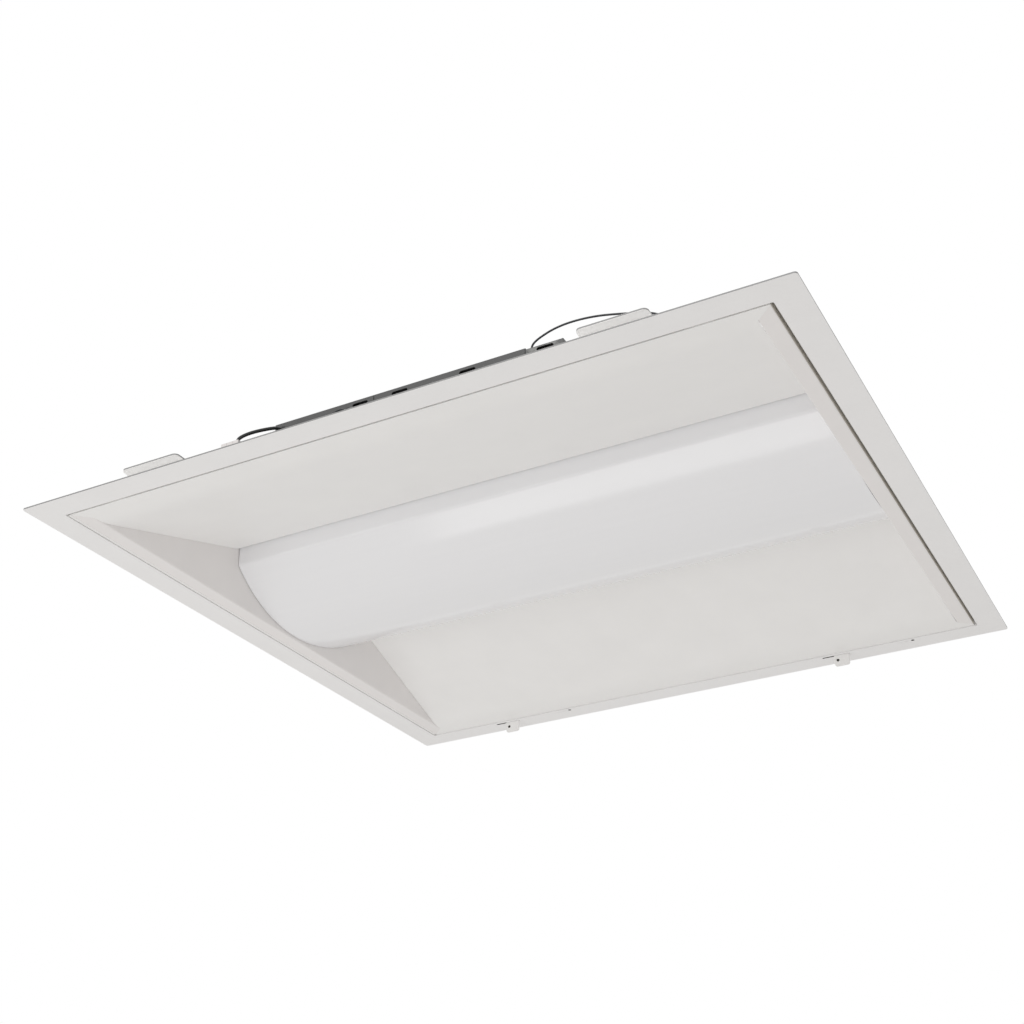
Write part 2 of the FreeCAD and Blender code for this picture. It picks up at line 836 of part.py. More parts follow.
def led_driver():
    """Driver case with rounded edges and a mounting foot at each end."""
    x0 = box_left_x + driver_inset
    middle_y = box_near_y + box_width / 2
    x1 = x0 + driver_length
    y0 = middle_y - driver_width / 2
    y1 = y0 + driver_width
    z0 = shelf_top_z + box_t
    case = prism_z([(x0, y0), (x1, y0), (x1, y1), (x0, y1)], z0, z0 + driver_height, driver_corner_r)
    foot = box(x0 - driver_foot, x1 + driver_foot, middle_y - driver_foot_width / 2,
               middle_y + driver_foot_width / 2, z0, z0 + driver_foot_t)
    return case.fuse(foot).removeSplitter()


def terminal_block():
    """Terminal block with a wire bore and a screw well at each way."""
    x0 = box_end_x + terminal_inset
    y0 = box_near_y + (box_width - terminal_width) / 2
    z0 = shelf_top_z + box_t
    block = box(x0, x0 + terminal_length, y0, y0 + terminal_width, z0, z0 + terminal_height)
    pitch = terminal_width / terminal_ways
    for i in range(terminal_ways):
        y = y0 + pitch * (i + 0.5)
        start = (x0 - 1, y, z0 + terminal_bore_z)
        block = block.cut(rod(terminal_bore_r, start, (1, 0, 0), terminal_length + 2))
        block = block.cut(rod(terminal_well_r, (x0 + terminal_length / 2, y, z0 + terminal_bore_z),
                              (0, 0, 1), terminal_height))
    return block


def pan_screws():
    """Two screws on the box covers and the one that holds the earth terminal."""
    y = box_near_y + box_width / 2
    places = [(box_left_x + cover_screw_inset, y, box_top_z), (box_end_x - cover_screw_inset, y, box_top_z),
              (earth_x, earth_screw_y, saddle_top() + earth_ring_t)]
    return group([pan_head(x, y, z, small_screw_r, small_screw_height, 1) for x, y, z in places])


def grommet(point, lead_d):
    """Flanged sleeve in the near wall of the box, round a lead that passes it."""
    x, z = point[0], point[2]
    start = box_near_y - grommet_lip_t - lead_fit
    sleeve_r = lead_d / 2 + grommet_wall
    length = 2 * grommet_lip_t + box_t
    sleeve = rod(sleeve_r, (x, start, z), (0, 1, 0), length)
    lip = rod(sleeve_r + grommet_lip, (x, start, z), (0, 1, 0), grommet_lip_t)
    bore = rod(lead_d / 2 + lead_fit, (x, start - 1, z), (0, 1, 0), length + 2)
    return sleeve.fuse(lip).cut(bore).removeSplitter()


def saddle_top():
    return collar_height + over_collar + shelf_t


def collar_saddle(x, width, reach):
    """Small bracket hooked over the top of the collar's near side."""
    top = collar_height + over_collar
    line = [(-collar_outer, foot_z), (-collar_outer, top), (-opening_half + reach, top)]
    return folded_sheet_x(line, shelf_t, small_bend_r, x - width / 2, x + width / 2)


def connector_y():
    return -collar_outer + connector_setback


def inlet_connector():
    """Grey supply connector: one housing per way, side by side, each with a wire bore in its near face."""
    z0 = saddle_top()
    y0 = connector_y()
    pitch = connector_width / connector_ways
    ways = []
    for i in range(connector_ways):
        x0 = connector_x - connector_width / 2 + i * pitch
        way = box(x0, x0 + pitch - connector_way_gap, y0, y0 + connector_length, z0, z0 + connector_height)
        middle = x0 + (pitch - connector_way_gap) / 2
        ways.append(way.cut(rod(connector_bore_r, (middle, y0 - 1, z0 + connector_bore_z),
                                (0, 1, 0), connector_bore_depth + 1)))
    return group(ways)


def clamp_bracket():
    """Near-side bracket: a foot inside the collar and a shelf with the hole for the screw."""
    line = [(opening_half, foot_z), (opening_half, clamp_bracket_z + clamp_bracket_t),
            (clamp_y - clamp_bracket_reach, clamp_bracket_z + clamp_bracket_t)]
    x = clamp_bracket_width / 2
    plate = mirrored_y(folded_sheet_x(line, clamp_bracket_t, small_bend_r, -x, x))
    return plate.cut(rod(clamp_screw_r + thread_clearance, (0, -clamp_y, 0), (0, 0, 1), clamp_screw_top))


def clamp_screw():
    """Upright screw with a pan head below the bracket and its thread above."""
    start = clamp_bracket_z - clamp_head_t
    shank = rod(clamp_screw_r, (0, -clamp_y, start), (0, 0, 1), clamp_screw_top - start)
    head = pan_head(0, -clamp_y, clamp_bracket_z, clamp_head_r, clamp_head_t, -1)
    half = clamp_slot_width / 2
    slot = box(-half, half, -clamp_y - clamp_head_r, -clamp_y + clamp_head_r,
               start - 1, start + clamp_slot_depth)
    return shank.fuse(head).cut(slot).removeSplitter()


def clamp_nut():
    """Swaged nut: a flange below the wing, the boss that the wing turns on and a rim above."""
    low = wing_rest_z - turn_clearance
    high = wing_rest_z + wing_t + turn_clearance
    nut = rod(nut_flange_r, (0, -clamp_y, low - nut_flange_t), (0, 0, 1), nut_flange_t)
    nut = nut.fuse(rod(nut_boss_r, (0, -clamp_y, low - nut_flange_t), (0, 0, 1), high + nut_rim_t - low))
    corner_r = nut_rim_r / math.cos(math.pi / 6)
    turns = [math.radians(60 * i) for i in range(6)]
    hexagon = [(corner_r * math.cos(turn), -clamp_y + corner_r * math.sin(turn)) for turn in turns]
    nut = nut.fuse(prism_z(hexagon, high, high + nut_rim_t))
    bore = rod(clamp_screw_r + thread_clearance, (0, -clamp_y, 0), (0, 0, 1), clamp_screw_top)
    return nut.cut(bore).removeSplitter()


def clamp_wing():
    """Stamped wing: a blade that reaches over the board, a waist, and an eye round the nut."""
    x0 = -wing_offset - wing_span / 2
    x1 = -wing_offset + wing_span / 2
    y_out = -clamp_y - wing_reach
    y_in = -opening_half + wing_setback
    top = wing_rest_z + wing_t
    blade = prism_z([(x0 + wing_slant, y_out), (x1, y_out), (x1, y_in), (x0, y_in)],
                    wing_rest_z, top, wing_corner_r)
    waist_y = -clamp_y + wing_slant
    waist = prism_z([(x0 + wing_waist_inset, y_in - wing_corner_r), (x1 - wing_slant, y_in - wing_corner_r),
                     (wing_hub_r - 1, waist_y), (1 - wing_hub_r, waist_y)], wing_rest_z, top)
    hub = rod(wing_hub_r, (0, -clamp_y, wing_rest_z), (0, 0, 1), wing_t)
    rib_y = y_out + wing_rib_width
    rib_x0, rib_x1 = x0 + wing_rib_inset, x1 - wing_rib_inset
    rib_end_y = rib_y + wing_rib_width
    rib = prism_z([(rib_x0, rib_y), (rib_x1, rib_y), (rib_x1, rib_end_y), (rib_x0, rib_end_y)],
                  top - wing_t / 2, top + wing_rib_height, wing_rib_width * 0.45)
    bore = rod(nut_boss_r + turn_clearance, (0, -clamp_y, 0), (0, 0, 1), 2 * clamp_screw_top)
    return blade.fuse([waist, hub, rib]).cut(bore).removeSplitter()


def clamp_places():
    """Number, X and side of the four clamps: two on the near side, then two on the far side."""
    return [(1, -clamp_near_x, "near"), (2, clamp_near_x, "near"),
            (3, -clamp_far_x, "far"), (4, clamp_far_x, "far")]


def put_clamp(shape, x, side):
    placed = shape.copy() if side == "near" else half_turn(shape)
    placed.translate(vec(x, 0, 0))
    return placed


def hinge_arm():
    """Right-hand goose-neck arm: a foot on the collar and an eye that holds the pin."""
    x0 = hinge_x - arm_t / 2
    foot_top = collar_height
    foot = box(hinge_x - arm_foot_width / 2, hinge_x + arm_foot_width / 2,
               -opening_half, -opening_half + collar_t, arm_foot_z, foot_top)
    neck_z = pivot_z + arm_neck_gap
    neck = box(x0, x0 + arm_t, -opening_half, pivot_y + eye_r, neck_z, foot_top)
    drop = box(x0, x0 + arm_t, pivot_y - eye_r, pivot_y + eye_r, pivot_z, neck_z)
    eye = rod(eye_r, (x0, pivot_y, pivot_z), (1, 0, 0), arm_t)
    arm = foot.fuse([neck, drop, eye])
    return arm.cut(rod(pin_r, (x0 - 1, pivot_y, pivot_z), (1, 0, 0), arm_t + 2)).removeSplitter()


def hinge_ear():
    """Right-hand ear of the door: a foot on the back of the border and an eye on the pin."""
    x0 = hinge_x + arm_t / 2 + hinge_gap
    foot_end = pivot_y + ear_foot_width
    foot = box(x0, x0 + ear_foot_length, pivot_y, foot_end, door_back_z, door_back_z + ear_foot_t)
    web = box(x0, x0 + ear_t, pivot_y - pin_r, pivot_y + eye_r, door_back_z, pivot_z)
    brace = prism_x([(pivot_y, door_back_z), (foot_end, door_back_z), (pivot_y + eye_r, pivot_z),
                     (pivot_y, pivot_z)], x0, x0 + ear_t)
    eye = rod(eye_r, (x0, pivot_y, pivot_z), (1, 0, 0), ear_t)
    ear = foot.fuse([web, brace, eye])
    bore = rod(pin_r + turn_clearance, (x0 - 1, pivot_y, pivot_z), (1, 0, 0), ear_t + 2)
    return ear.cut(bore).removeSplitter()


def hinge_pin():
    """Right-hand pin, fixed in the arm, with a head on the arm's other face."""
    x0 = hinge_x - arm_t / 2
    length = arm_t + hinge_gap + ear_t + pin_overhang
    shank = rod(pin_r, (x0, pivot_y, pivot_z), (1, 0, 0), length)
    head = rod(pin_head_r, (x0 - pin_head_t, pivot_y, pivot_z), (1, 0, 0), pin_head_t)
    return shank.fuse(head).removeSplitter()


def tongue_span(x):
    """X span of a latch's tongue at rest."""
    high = x + latch_slot_length / 2 - latch_play - tongue_inset
    return high - tongue_width, high


def latch_slider(x):
    """Slider of a latch: plate with two guide slots, finger tab below and tongue inwards."""
    y0 = latch_line_y - latch_plate_t / 2
    y1 = latch_line_y + latch_plate_t / 2
    half = latch_plate_length / 2
    plate = prism_y([(x - half, latch_base_z), (x + half, latch_base_z), (x + half, latch_plate_top),
                     (x - half, latch_plate_top)], y0, y1, latch_plate_corner_r)
    tab_high = x + latch_slot_length / 2 - latch_play
    tab_low = tab_high - latch_tab_width
    tab_top = tongue_z + latch_plate_t
    tab = prism_y([(tab_low, -latch_tab_drop), (tab_high, -latch_tab_drop),
                   (tab_high, tab_top), (tab_low, tab_top)], y0, y1, latch_tab_corner_r)
    low, high = tongue_span(x)
    tongue = box(low, high, door_half - door_sheet_t - tongue_reach, y1, tongue_z, tongue_z + latch_plate_t)
    slider = plate.fuse([tab, tongue])
    for stud_x in stud_places(x):
        reach = latch_travel + 2 * stud_r + 2 * stud_fit
        slider = slider.cut(rounded_slot_y(stud_x + latch_travel / 2, stud_z(), reach,
                                           2 * (stud_r + stud_fit), y0 - 1, y1 + 1))
    hole = rod(latch_tab_hole_r, (tab_low + latch_tab_hole_inset, y0 - 1, -latch_tab_drop / 2),
               (0, 1, 0), 2 * latch_plate_t)
    return slider.cut(hole).removeSplitter()


def stud_z():
    return latch_plate_top - stud_r - stud_edge


def stud_places(x):
    """X of the two guide studs of a latch, at the left end of their slots at rest."""
    half = latch_plate_length / 2
    return (x - half + stud_inset, x + half - latch_travel - stud_inset)


def latch_stud(x):
    """Shouldered stud on the outside of the collar that guides a slider."""
    y0 = latch_line_y - latch_plate_t / 2
    y1 = latch_line_y + latch_plate_t / 2
    start = (x, collar_outer, stud_z())
    shoulder = rod(stud_r + stud_shoulder, start, (0, 1, 0), y0 - stud_fit - collar_outer)
    shank = rod(stud_r, start, (0, 1, 0), y1 + stud_fit - collar_outer)
    head = rod(stud_head_r, (x, y1 + stud_fit, stud_z()), (0, 1, 0), stud_head_t)
    return shoulder.fuse([shank, head]).removeSplitter()


def latch_studs():
    studs = []
    for x in latch_x:
        studs += [latch_stud(stud_x) for stud_x in stud_places(x)]
    return group(studs)


def gusset_edge():
    """Distance from the door's centre to the outer edge of a gusset, and the gusset's width."""
    inset = panel_fit + door_sheet_t + door_bend_r
    return door_half - inset, end_border - inset - gusset_margin


def door_gusset(x_side, y_side):
    """Corner plate on the back of the border, across the mitre."""
    outer, width = gusset_edge()
    corners = [(-outer, -outer), (-outer + gusset_reach, -outer), (-outer + gusset_reach, -outer + width),
               (-outer + width, -outer + width), (-outer + width, -outer + gusset_reach),
               (-outer, -outer + gusset_reach)]
    plate = prism_z(corners, door_back_z, door_back_z + gusset_t)
    plate = plate if x_side < 0 else mirrored_x(plate)
    return plate if y_side < 0 else mirrored_y(plate)


def gusset_rivets():
    outer, width = gusset_edge()
    middle = outer - width / 2
    heads = []
    for sx in (-1, 1):
        for sy in (-1, 1):
            for along, across in ((middle - rivet_spread, middle), (middle, middle - rivet_spread)):
                heads.append(pan_head(sx * along, sy * across, door_back_z + gusset_t,
                                      rivet_r, rivet_height, 1))
    return group(heads)


def earth_terminal():
    """Ring terminal on its bracket, with the barrel that grips the earth lead."""
    z = saddle_top()
    end = vec(*earth_route[-1])
    back = end.y - earth_grip
    half = earth_neck_width / 2
    ring = rod(earth_ring_r, (earth_x, earth_screw_y, z), (0, 0, 1), earth_ring_t)
    neck = box(earth_x - half, earth_x + half, earth_screw_y, end.y, z, z + earth_ring_t)
    barrel = rod(earth_lead_d / 2 + earth_barrel_wall, (end.x, back, end.z), (0, 1, 0), earth_barrel)
    bore = rod(earth_lead_d / 2 + turn_clearance, (end.x, end.y, end.z), (0, 1, 0), earth_barrel)
    return ring.fuse([neck, barrel]).cut(bore).removeSplitter()


def by_box(x, out, rise):
    """Point of a lead at a distance out from the near wall of the box and up from the shelf."""
    return (x, box_near_y - out, shelf_top_z + rise)


# Routes of the leads, from end to end
mains_entry = by_box(box_left_x + mains_entry_inset, -3.0, 23.2)
mains_start = (connector_x, mains_inset - opening_half, saddle_top() + connector_height)
mains_route = [
    mains_start,
    (mains_start[0], mains_start[1], shelf_top_z + 5.2),
    by_box(box_left_x - 8.0, 28.0, 14.7),
    by_box(box_left_x - 1.5, 18.0, 21.2),
    (mains_entry[0], box_near_y - 9.0, mains_entry[2]),
    mains_entry,
]

earth_end = (earth_x, earth_screw_y + 4.0, saddle_top() + earth_lead_d / 2 + earth_barrel_wall)
earth_route = [
    by_box(box_end_x + 2.0, -7.0, 26.2),
    by_box(box_end_x + 2.5, -5.5, box_height + 3.2),
    by_box(box_end_x + 10.5, -2.0, box_height + 9.2),
    by_box(box_right_x - 2.5, 0.0, box_height + 10.7),
    by_box(box_right_x + 23.5, 0.0, box_height + 8.7),
    by_box(box_right_x + 49.5, 1.0, box_height + 2.2),
    by_box(earth_x - 28.0, 5.0, 21.2),
    by_box(earth_x - 12.0, 9.0, 6.2),
    by_box(earth_x - 2.0, 13.0, -5.3),
    (earth_end[0], box_near_y - 21.0, earth_end[2]),
    earth_end,
]

led_route = [
    by_box(box_joint_x - 23.0, -3.0, 22.7),
    by_box(box_joint_x - 23.0, 8.5, 22.7),
    by_box(box_joint_x - 27.0, 14.0, 22.2),
    by_box(box_joint_x - 35.0, 15.5, 17.7),
    by_box(box_joint_x - 42.0, 14.0, 10.7),
    by_box(box_joint_x - 45.0, 13.0, 3.2),
    by_box(box_joint_x - 45.0, 13.0, -4.8),
]


def main():
    save("trim_frame", trim_frame())
    save("housing_channel", housing_channel())
    end = housing_end()
    save("housing_end_left", end)
    save("housing_end_right", mirrored_x(end))
    save("led_tray", led_tray())
    for i, y in enumerate(board_rows()):
        save("led_board_%d" % (i + 1), led_board(y))
    save("led_chips", led_chips())
    save("board_screws", board_screws())
    save("driver_shelf", driver_shelf())
    save("far_bridge", far_bridge())
    save("driver_box_base", box_base())
    save("driver_box_cover_left", box_cover_left())
    save("driver_box_cover_right", box_cover_right())
    save("driver_box_end_cover", box_end_cover())
    save("led_driver", led_driver())
    save("terminal_block", terminal_block())
    save("pan_screws", pan_screws())
    save("inlet_bracket", collar_saddle(connector_x, connector_width + 4, connector_length))
    save("earth_bracket", collar_saddle(earth_x, earth_width, earth_reach))
    save("earth_terminal", earth_terminal())
    save("inlet_connector", inlet_connector())
    save("box_grommets", group([grommet(mains_entry, mains_cable_d), grommet(led_route[0], led_lead_d)]))
    save("mains_cable", lead("mains_cable", mains_route, mains_cable_d))
    save("earth_lead", lead("earth_lead", earth_route, earth_lead_d))
    save("led_lead", lead("led_lead", led_route, led_lead_d))
    for number, x, side in clamp_places():
        save("clamp_bracket_%d" % number, put_clamp(clamp_bracket(), x, side))
        save("clamp_nut_%d" % number, put_clamp(clamp_nut(), x, side))
        save("clamp_wing_%d" % number, put_clamp(clamp_wing(), x, side))
        save("clamp_screw_%d" % number, put_clamp(clamp_screw(), x, side))
    arm, ear, pin = hinge_arm(), hinge_ear(), hinge_pin()
    save("hinge_arm_left", mirrored_x(arm))
    save("hinge_arm_right", arm)
    save("hinge_ear_left", mirrored_x(ear))
    save("hinge_ear_right", ear)
    save("hinge_pins", group([mirrored_x(pin), pin]))
    for i, x in enumerate(latch_x):
        save("latch_slider_%d" % (i + 1), latch_slider(x))
    save("latch_studs", latch_studs())
    save("near_reflector", reflector("near"))
    save("far_reflector", reflector("far"))
    panel = end_panel()
    save("end_panel_left", panel)
    save("end_panel_right", mirrored_x(panel))
    save("lens", lens())
    clips = [lens_clip(x, side) for side in (-1, 1) for x in (-clip_spacing / 2, clip_spacing / 2)]
    save("lens_clips", group(clips))
    corners = [(-1, -1), (-1, 1), (1, -1), (1, 1)]
    save("door_gussets", group([door_gusset(x_side, y_side) for x_side, y_side in corners]))
    save("gusset_rivets", gusset_rivets())
    print(len(built), "nodes")


main()
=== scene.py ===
import json
import math

import bmesh
import bpy
import numpy as np
from bpy.props import FloatProperty, FloatVectorProperty, IntProperty, PointerProperty, StringProperty
from mathutils import Matrix, Vector

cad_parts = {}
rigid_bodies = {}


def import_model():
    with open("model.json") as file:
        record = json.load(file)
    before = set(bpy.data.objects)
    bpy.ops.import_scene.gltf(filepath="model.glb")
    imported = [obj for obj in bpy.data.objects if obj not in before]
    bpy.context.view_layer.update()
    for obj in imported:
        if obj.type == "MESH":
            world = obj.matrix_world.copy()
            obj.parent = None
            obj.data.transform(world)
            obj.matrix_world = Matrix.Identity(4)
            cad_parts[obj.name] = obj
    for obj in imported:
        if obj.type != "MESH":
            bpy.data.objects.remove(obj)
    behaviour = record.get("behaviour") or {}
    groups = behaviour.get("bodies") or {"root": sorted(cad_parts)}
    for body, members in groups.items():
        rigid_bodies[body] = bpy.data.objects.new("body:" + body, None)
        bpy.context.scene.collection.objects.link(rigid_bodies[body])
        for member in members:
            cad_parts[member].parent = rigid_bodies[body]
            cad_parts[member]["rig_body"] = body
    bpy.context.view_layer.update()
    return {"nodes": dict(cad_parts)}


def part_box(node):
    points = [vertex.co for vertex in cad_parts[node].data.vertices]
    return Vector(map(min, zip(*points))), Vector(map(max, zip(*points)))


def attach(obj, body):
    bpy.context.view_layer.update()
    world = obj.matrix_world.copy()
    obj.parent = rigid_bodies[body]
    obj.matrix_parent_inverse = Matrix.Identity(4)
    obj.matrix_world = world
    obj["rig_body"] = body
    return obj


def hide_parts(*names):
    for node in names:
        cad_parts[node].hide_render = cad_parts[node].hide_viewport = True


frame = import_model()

bl_info = {
    "name": "Recessed Troffer Light",
    "version": (1, 0, 0),
    "blender": (4, 5, 0),
    "location": "3D View > Sidebar > Troffer",
    "description": "Dresses the packed parts of a recessed square troffer light",
    "category": "Add Mesh",
}

MM = 0.001


# Sizes and colours that a user would change

def metres(name, text, size):
    """A size in metres."""
    return FloatProperty(name=name, description=text, default=size, unit="LENGTH", subtype="DISTANCE")


def length(name, text, mm):
    """A size in metres whose default is given in millimetres."""
    return metres(name, text, mm * MM)


def degrees(name, text, size):
    """An angle whose default is given in degrees."""
    return FloatProperty(name=name, description=text, default=math.radians(size), unit="ROTATION",
                         subtype="ANGLE")


def watts(name, text, power):
    """The power of a lamp."""
    return FloatProperty(name=name, description=text, default=power, unit="POWER")


def colour(name, text, code):
    """A colour whose default is an sRGB hex code."""
    return StringProperty(name=name, description=text, default=code)


class TrofferDoorSizes(bpy.types.PropertyGroup):
    """Sizes of the hinged door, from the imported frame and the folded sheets."""

    half: metres("Half width", "From the centre to the door's outer face", -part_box("near_reflector")[0].y)
    face_z: metres("Face height", "Height of the visible border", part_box("near_reflector")[0].z)
    hem_z: metres("Hem height", "Top of the hem that carries the diffuser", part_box("near_reflector")[1].z)
    lens_half: metres("Half opening", "From the centre to the hem", -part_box("near_reflector")[1].y)
    sheet: length("Sheet", "Thickness of the door's sheet", 0.8)
    lip: length("Lip", "Height of the lip behind the reveal", 7.4)
    side_border: length("Side border", "Flat border along the reflectors", 23.5)
    end_border: length("End border", "Flat border along the end panels", 13.0)
    angle: degrees("Reflector angle", "Rise of the reflectors", 15.64)
    lean: degrees("End panel lean", "Lean of the end panels from upright", 13.2)
    bend: length("Soft bend", "Radius of the bend between border and reflector", 72.8)
    crease: length("Crease", "Radius of the sharp folds", 1.4)
    lip_crease: length("Lip crease", "Radius of the fold between border and lip", 0.6)
    hem_bend: length("Hem bend", "Radius of the fold between reflector and hem", 2.2)
    fit: length("Fit", "Gap between reflector ends and end panels", 0.3)
    mitre: length("Mitre gap", "Gap at the mitred corners", 0.03)
    panel_margin: length("Panel margin", "Height of the full-width foot of an end panel", 3.5)
    panel_shoulder: length("Panel shoulder", "Width of an end panel beyond the diffuser", 8.0)
    panel_return: length("Panel return", "Fold along the top of an end panel", 7.0)
    seal: length("Seal", "Thickness of the foam on the near and right lips", 0.45)
    gasket: length("Gasket", "Width of the near gasket on the frame's collar", 1.6)
    gasket_gap: length("Gasket gap", "Gap between the right gasket and the frame's collar", 0.3)
    collar: length("Collar", "Distance from the middle to the inner face of the frame's collar", 296.5)
    strip: length("Strip", "Thickness of the white foam strip on the far and left lips", 2.6)
    seal_low: length("Seal foot", "Height of the foam's lower edge above the visible face", 0.15)
    seal_split: length("Seal split", "Height above the visible face from which the foam is cut out", 1.4)
    seal_high: length("Seal top", "Height of the foam's upper edge above the visible face", 7.0)
    slot_high: length("Lip slot top", "Height at which the latch slots in the far lip end", 4.4)
    slot_low: length("Lip slot foot", "Height at which the latch slots in the far lip start", 1.9)
    hinge_gap: length("Hinge gap", "Half the width of the gaps in the near lip at the hinge arms", 8.5)


class TrofferDiffuserSizes(bpy.types.PropertyGroup):
    """Sizes of the curved diffuser."""

    wall: length("Wall", "Thickness of the diffuser", 2.0)
    fit: length("Fit", "Gap to the hems on each side", 0.3)
    drop: length("Drop", "Depth of the curved face", 28.3)
    flank: length("Flank", "Height of the steep flanks", 17.4)
    slant: length("Slant", "How far the flanks lean inwards over their height", 5.2)
    flange: length("Flange", "Width of the flange that rests on the hems", 5.0)
    fold: length("Fold", "Radius between flange and flank", 0.3)
    corner: length("Corner", "Radius between flank and curved face", 4.5)
    end_gap: length("End gap", "Gap to each end panel", 0.6)


class TrofferDetailSizes(bpy.types.PropertyGroup):
    """Sizes of small parts that the CAD model keeps plain."""

    edge: length("Edge round", "Round on the edges of sheet parts", 0.25)
    fine_edge: length("Fine edge round", "Round on the edges of small parts", 0.12)
    case_edge: length("Case edge round", "Round on the edges of the LED driver's case", 0.8)
    screw_edge: length("Terminal edge round", "Round on the edges of the earth terminal", 0.06)
    thread_pitch: length("Thread pitch", "Rise of the clamp screws' thread in one turn", 0.7)
    thread_depth: length("Thread depth", "Depth of the clamp screws' thread", 0.35)
    led_window: length("LED window", "Width of the phosphor window in a package", 2.8)
    head: length("Screw head", "Height of the small screws' heads", 1.6)
    recess: length("Recess depth", "Depth of the cross recess in the small screws", 0.7)
    # Painted shade: the dark liners stand in for the shade inside the flange's slots and holes
    liner: length("Liner wall", "Wall of the dark liners in the flange's slots and holes", 0.2)
    liner_rise: length("Liner rise", "Height of the hole liners above the flange", 1.2)
    flange: length("Flange", "Thickness of the flange", 1.2)
    slot_half: length("Half slot", "Half the length of the latch slots in the flange", 13.5)
    slot_width: length("Half slot width", "Half the width of the latch slots in the flange", 1.1)
    hole: length("Screw hole", "Radius of the screw holes in the flange", 1.6)
    hole_left: length("Left hole", "Place of the left screw hole along the flange", -134.1)
    hole_right: length("Right hole", "Place of the right screw hole along the flange", 233.3)
    tab_inset: length("Tab inset", "From a latch's right end to the middle of its finger tab", 21.3)
    tab_hole_z: length("Tab hole", "Height of the hole in a finger tab", -6.3)
    cable: length("Supply cable", "Diameter of the supply cable", 2.8)
    wire: length("Wire", "Diameter of the earth and lamp leads", 1.6)
    thread_sides: IntProperty(name="Thread sides", description="Points round a screw", default=24, min=12)


class TrofferColours(bpy.types.PropertyGroup):
    """Colours of the finishes, as sRGB hex codes."""

    frame_white: colour("Frame white", "Powder coat of the frame and its clamp brackets", "#F5F4F4")
    door_white: colour("Door white", "Powder coat of the reflectors, hinges and latches", "#F5F4F3")
    # Painted shade: the end panels are the door's own white coat, made a little darker and warmer for the
    # shade on them
    shaded_panel_white: colour("End panel white", "Powder coat of the end panels, darker and warmer as painted shade", "#F0EDEC")
    wing_white: colour("Wing white", "Powder coat of the clamp wings", "#F2F2F1")
    # Painted shade: a grey for the upright outer edges of the frame and the wings, standing in for the shade
    # on them
    edge_shade_grey: colour("Painted edge shade", "Grey as painted shade on the upright edges of the frame and the wings", "#858585")
    zinc_bright: colour("Galvanised bright", "Light crystals of the galvanised sheet", "#B6B9BB")
    zinc_dull: colour("Galvanised dull", "Dark crystals of the galvanised sheet", "#A4A8AA")
    box_dark: colour("Box dark", "Paint of the driver box covers", "#474747")
    end_dull: colour("Box end dull", "Dark patches of the driver box's end piece", "#3F3F41")
    end_bright: colour("Box end bright", "Light patches of the driver box's end piece", "#80807E")
    # Painted shade: the grey foam in the reveal stands in for the shade in the gap
    reveal_shade_grey: colour("Seal", "Foam on the door's right lip and the gaskets, grey as painted shade in the reveal", "#C4BFB6")
    lens_white: colour("Diffuser", "Frosted acrylic of the diffuser", "#F6F6F8")
    cable_black: colour("Supply cable", "Sheath of the supply cable", "#070B09")
    wire_black: colour("Leads", "Insulation of the thin leads", "#1D1F22")
    board_white: colour("Board", "Solder mask of the LED boards", "#ECEDE8")
    phosphor: colour("Phosphor", "Phosphor in the LED packages", "#E9D36A")
    plastic_grey: colour("Connector", "Plastic of the supply connector", "#CDC9C8")
    plastic_white: colour("Driver case", "Plastic of the LED driver's case", "#DCDDDA")


class TrofferStage(bpy.types.PropertyGroup):
    """Camera, lights and floor."""

    camera: FloatVectorProperty(name="Camera", description="Place of the camera", size=3, unit="LENGTH",
                                subtype="TRANSLATION", default=(0.51303, -1.11305, -0.59418))
    lens: FloatProperty(name="Lens", description="Focal length on a 36 mm sensor", default=54.7,
                        unit="CAMERA")
    floor_z: metres("Floor", "Height of the floor below the ceiling plane", -1.7)
    sky: FloatProperty(name="Room light", description="Strength of the even light", default=0.6)
    below: watts("Light below", "Power of the soft light under the object", 2.2)
    left: watts("Left light", "Power of the soft light from the left", 3.4)
    front: watts("Front light", "Power of the soft light from the near side", 1.8)
    top: watts("Top light", "Power of the soft light from above the near side", 11.0)



# Small tools

def linear(code):
    """Linear colour of an sRGB hex code: the standard curve, a power of 2.4 with a short straight foot."""
    values = [int(code[i:i + 2], 16) / 255 for i in (1, 3, 5)]
    return [v / 12.92 if v <= 0.04045 else ((v + 0.055) / 1.055) ** 2.4 for v in values] + [1.0]


def per_mm(size):
    """Texture scale on Object coordinates at which one cell is a size in millimetres."""
    return 1.0 / (size * MM)


def add_node(tree, kind, settings=None, inputs=None):
    """Add a node, set its properties, and set or link each named input.

    An input given as a pair of node and output name is linked, and any other is its value."""
    node = tree.nodes.new(kind)
    for key, value in (settings or {}).items():
        setattr(node, key, value)
    for key, value in (inputs or {}).items():
        if isinstance(value, tuple) and isinstance(value[0], bpy.types.Node):
            tree.links.new(value[0].outputs[value[1]], node.inputs[key])
        else:
            node.inputs[key].default_value = value
    return node


def new_material(name):
    """An empty node material with its coordinates and output, under a name the CAD materials don't have."""
    if name in bpy.data.materials:
        raise RuntimeError("material name already taken: " + name)
    material = bpy.data.materials.new(name)
    material.use_nodes = True
    tree = material.node_tree
    tree.nodes.clear()
    place = tree.nodes.new("ShaderNodeTexCoord")
    out = tree.nodes.new("ShaderNodeOutputMaterial")
    return material, tree, place, out


def tinted(code, amount):
    """Hex code of a colour made lighter or darker by a small step."""
    values = [min(255, max(0, int(code[i:i + 2], 16) + amount)) for i in (1, 3, 5)]
    return "#%02X%02X%02X" % tuple(values)


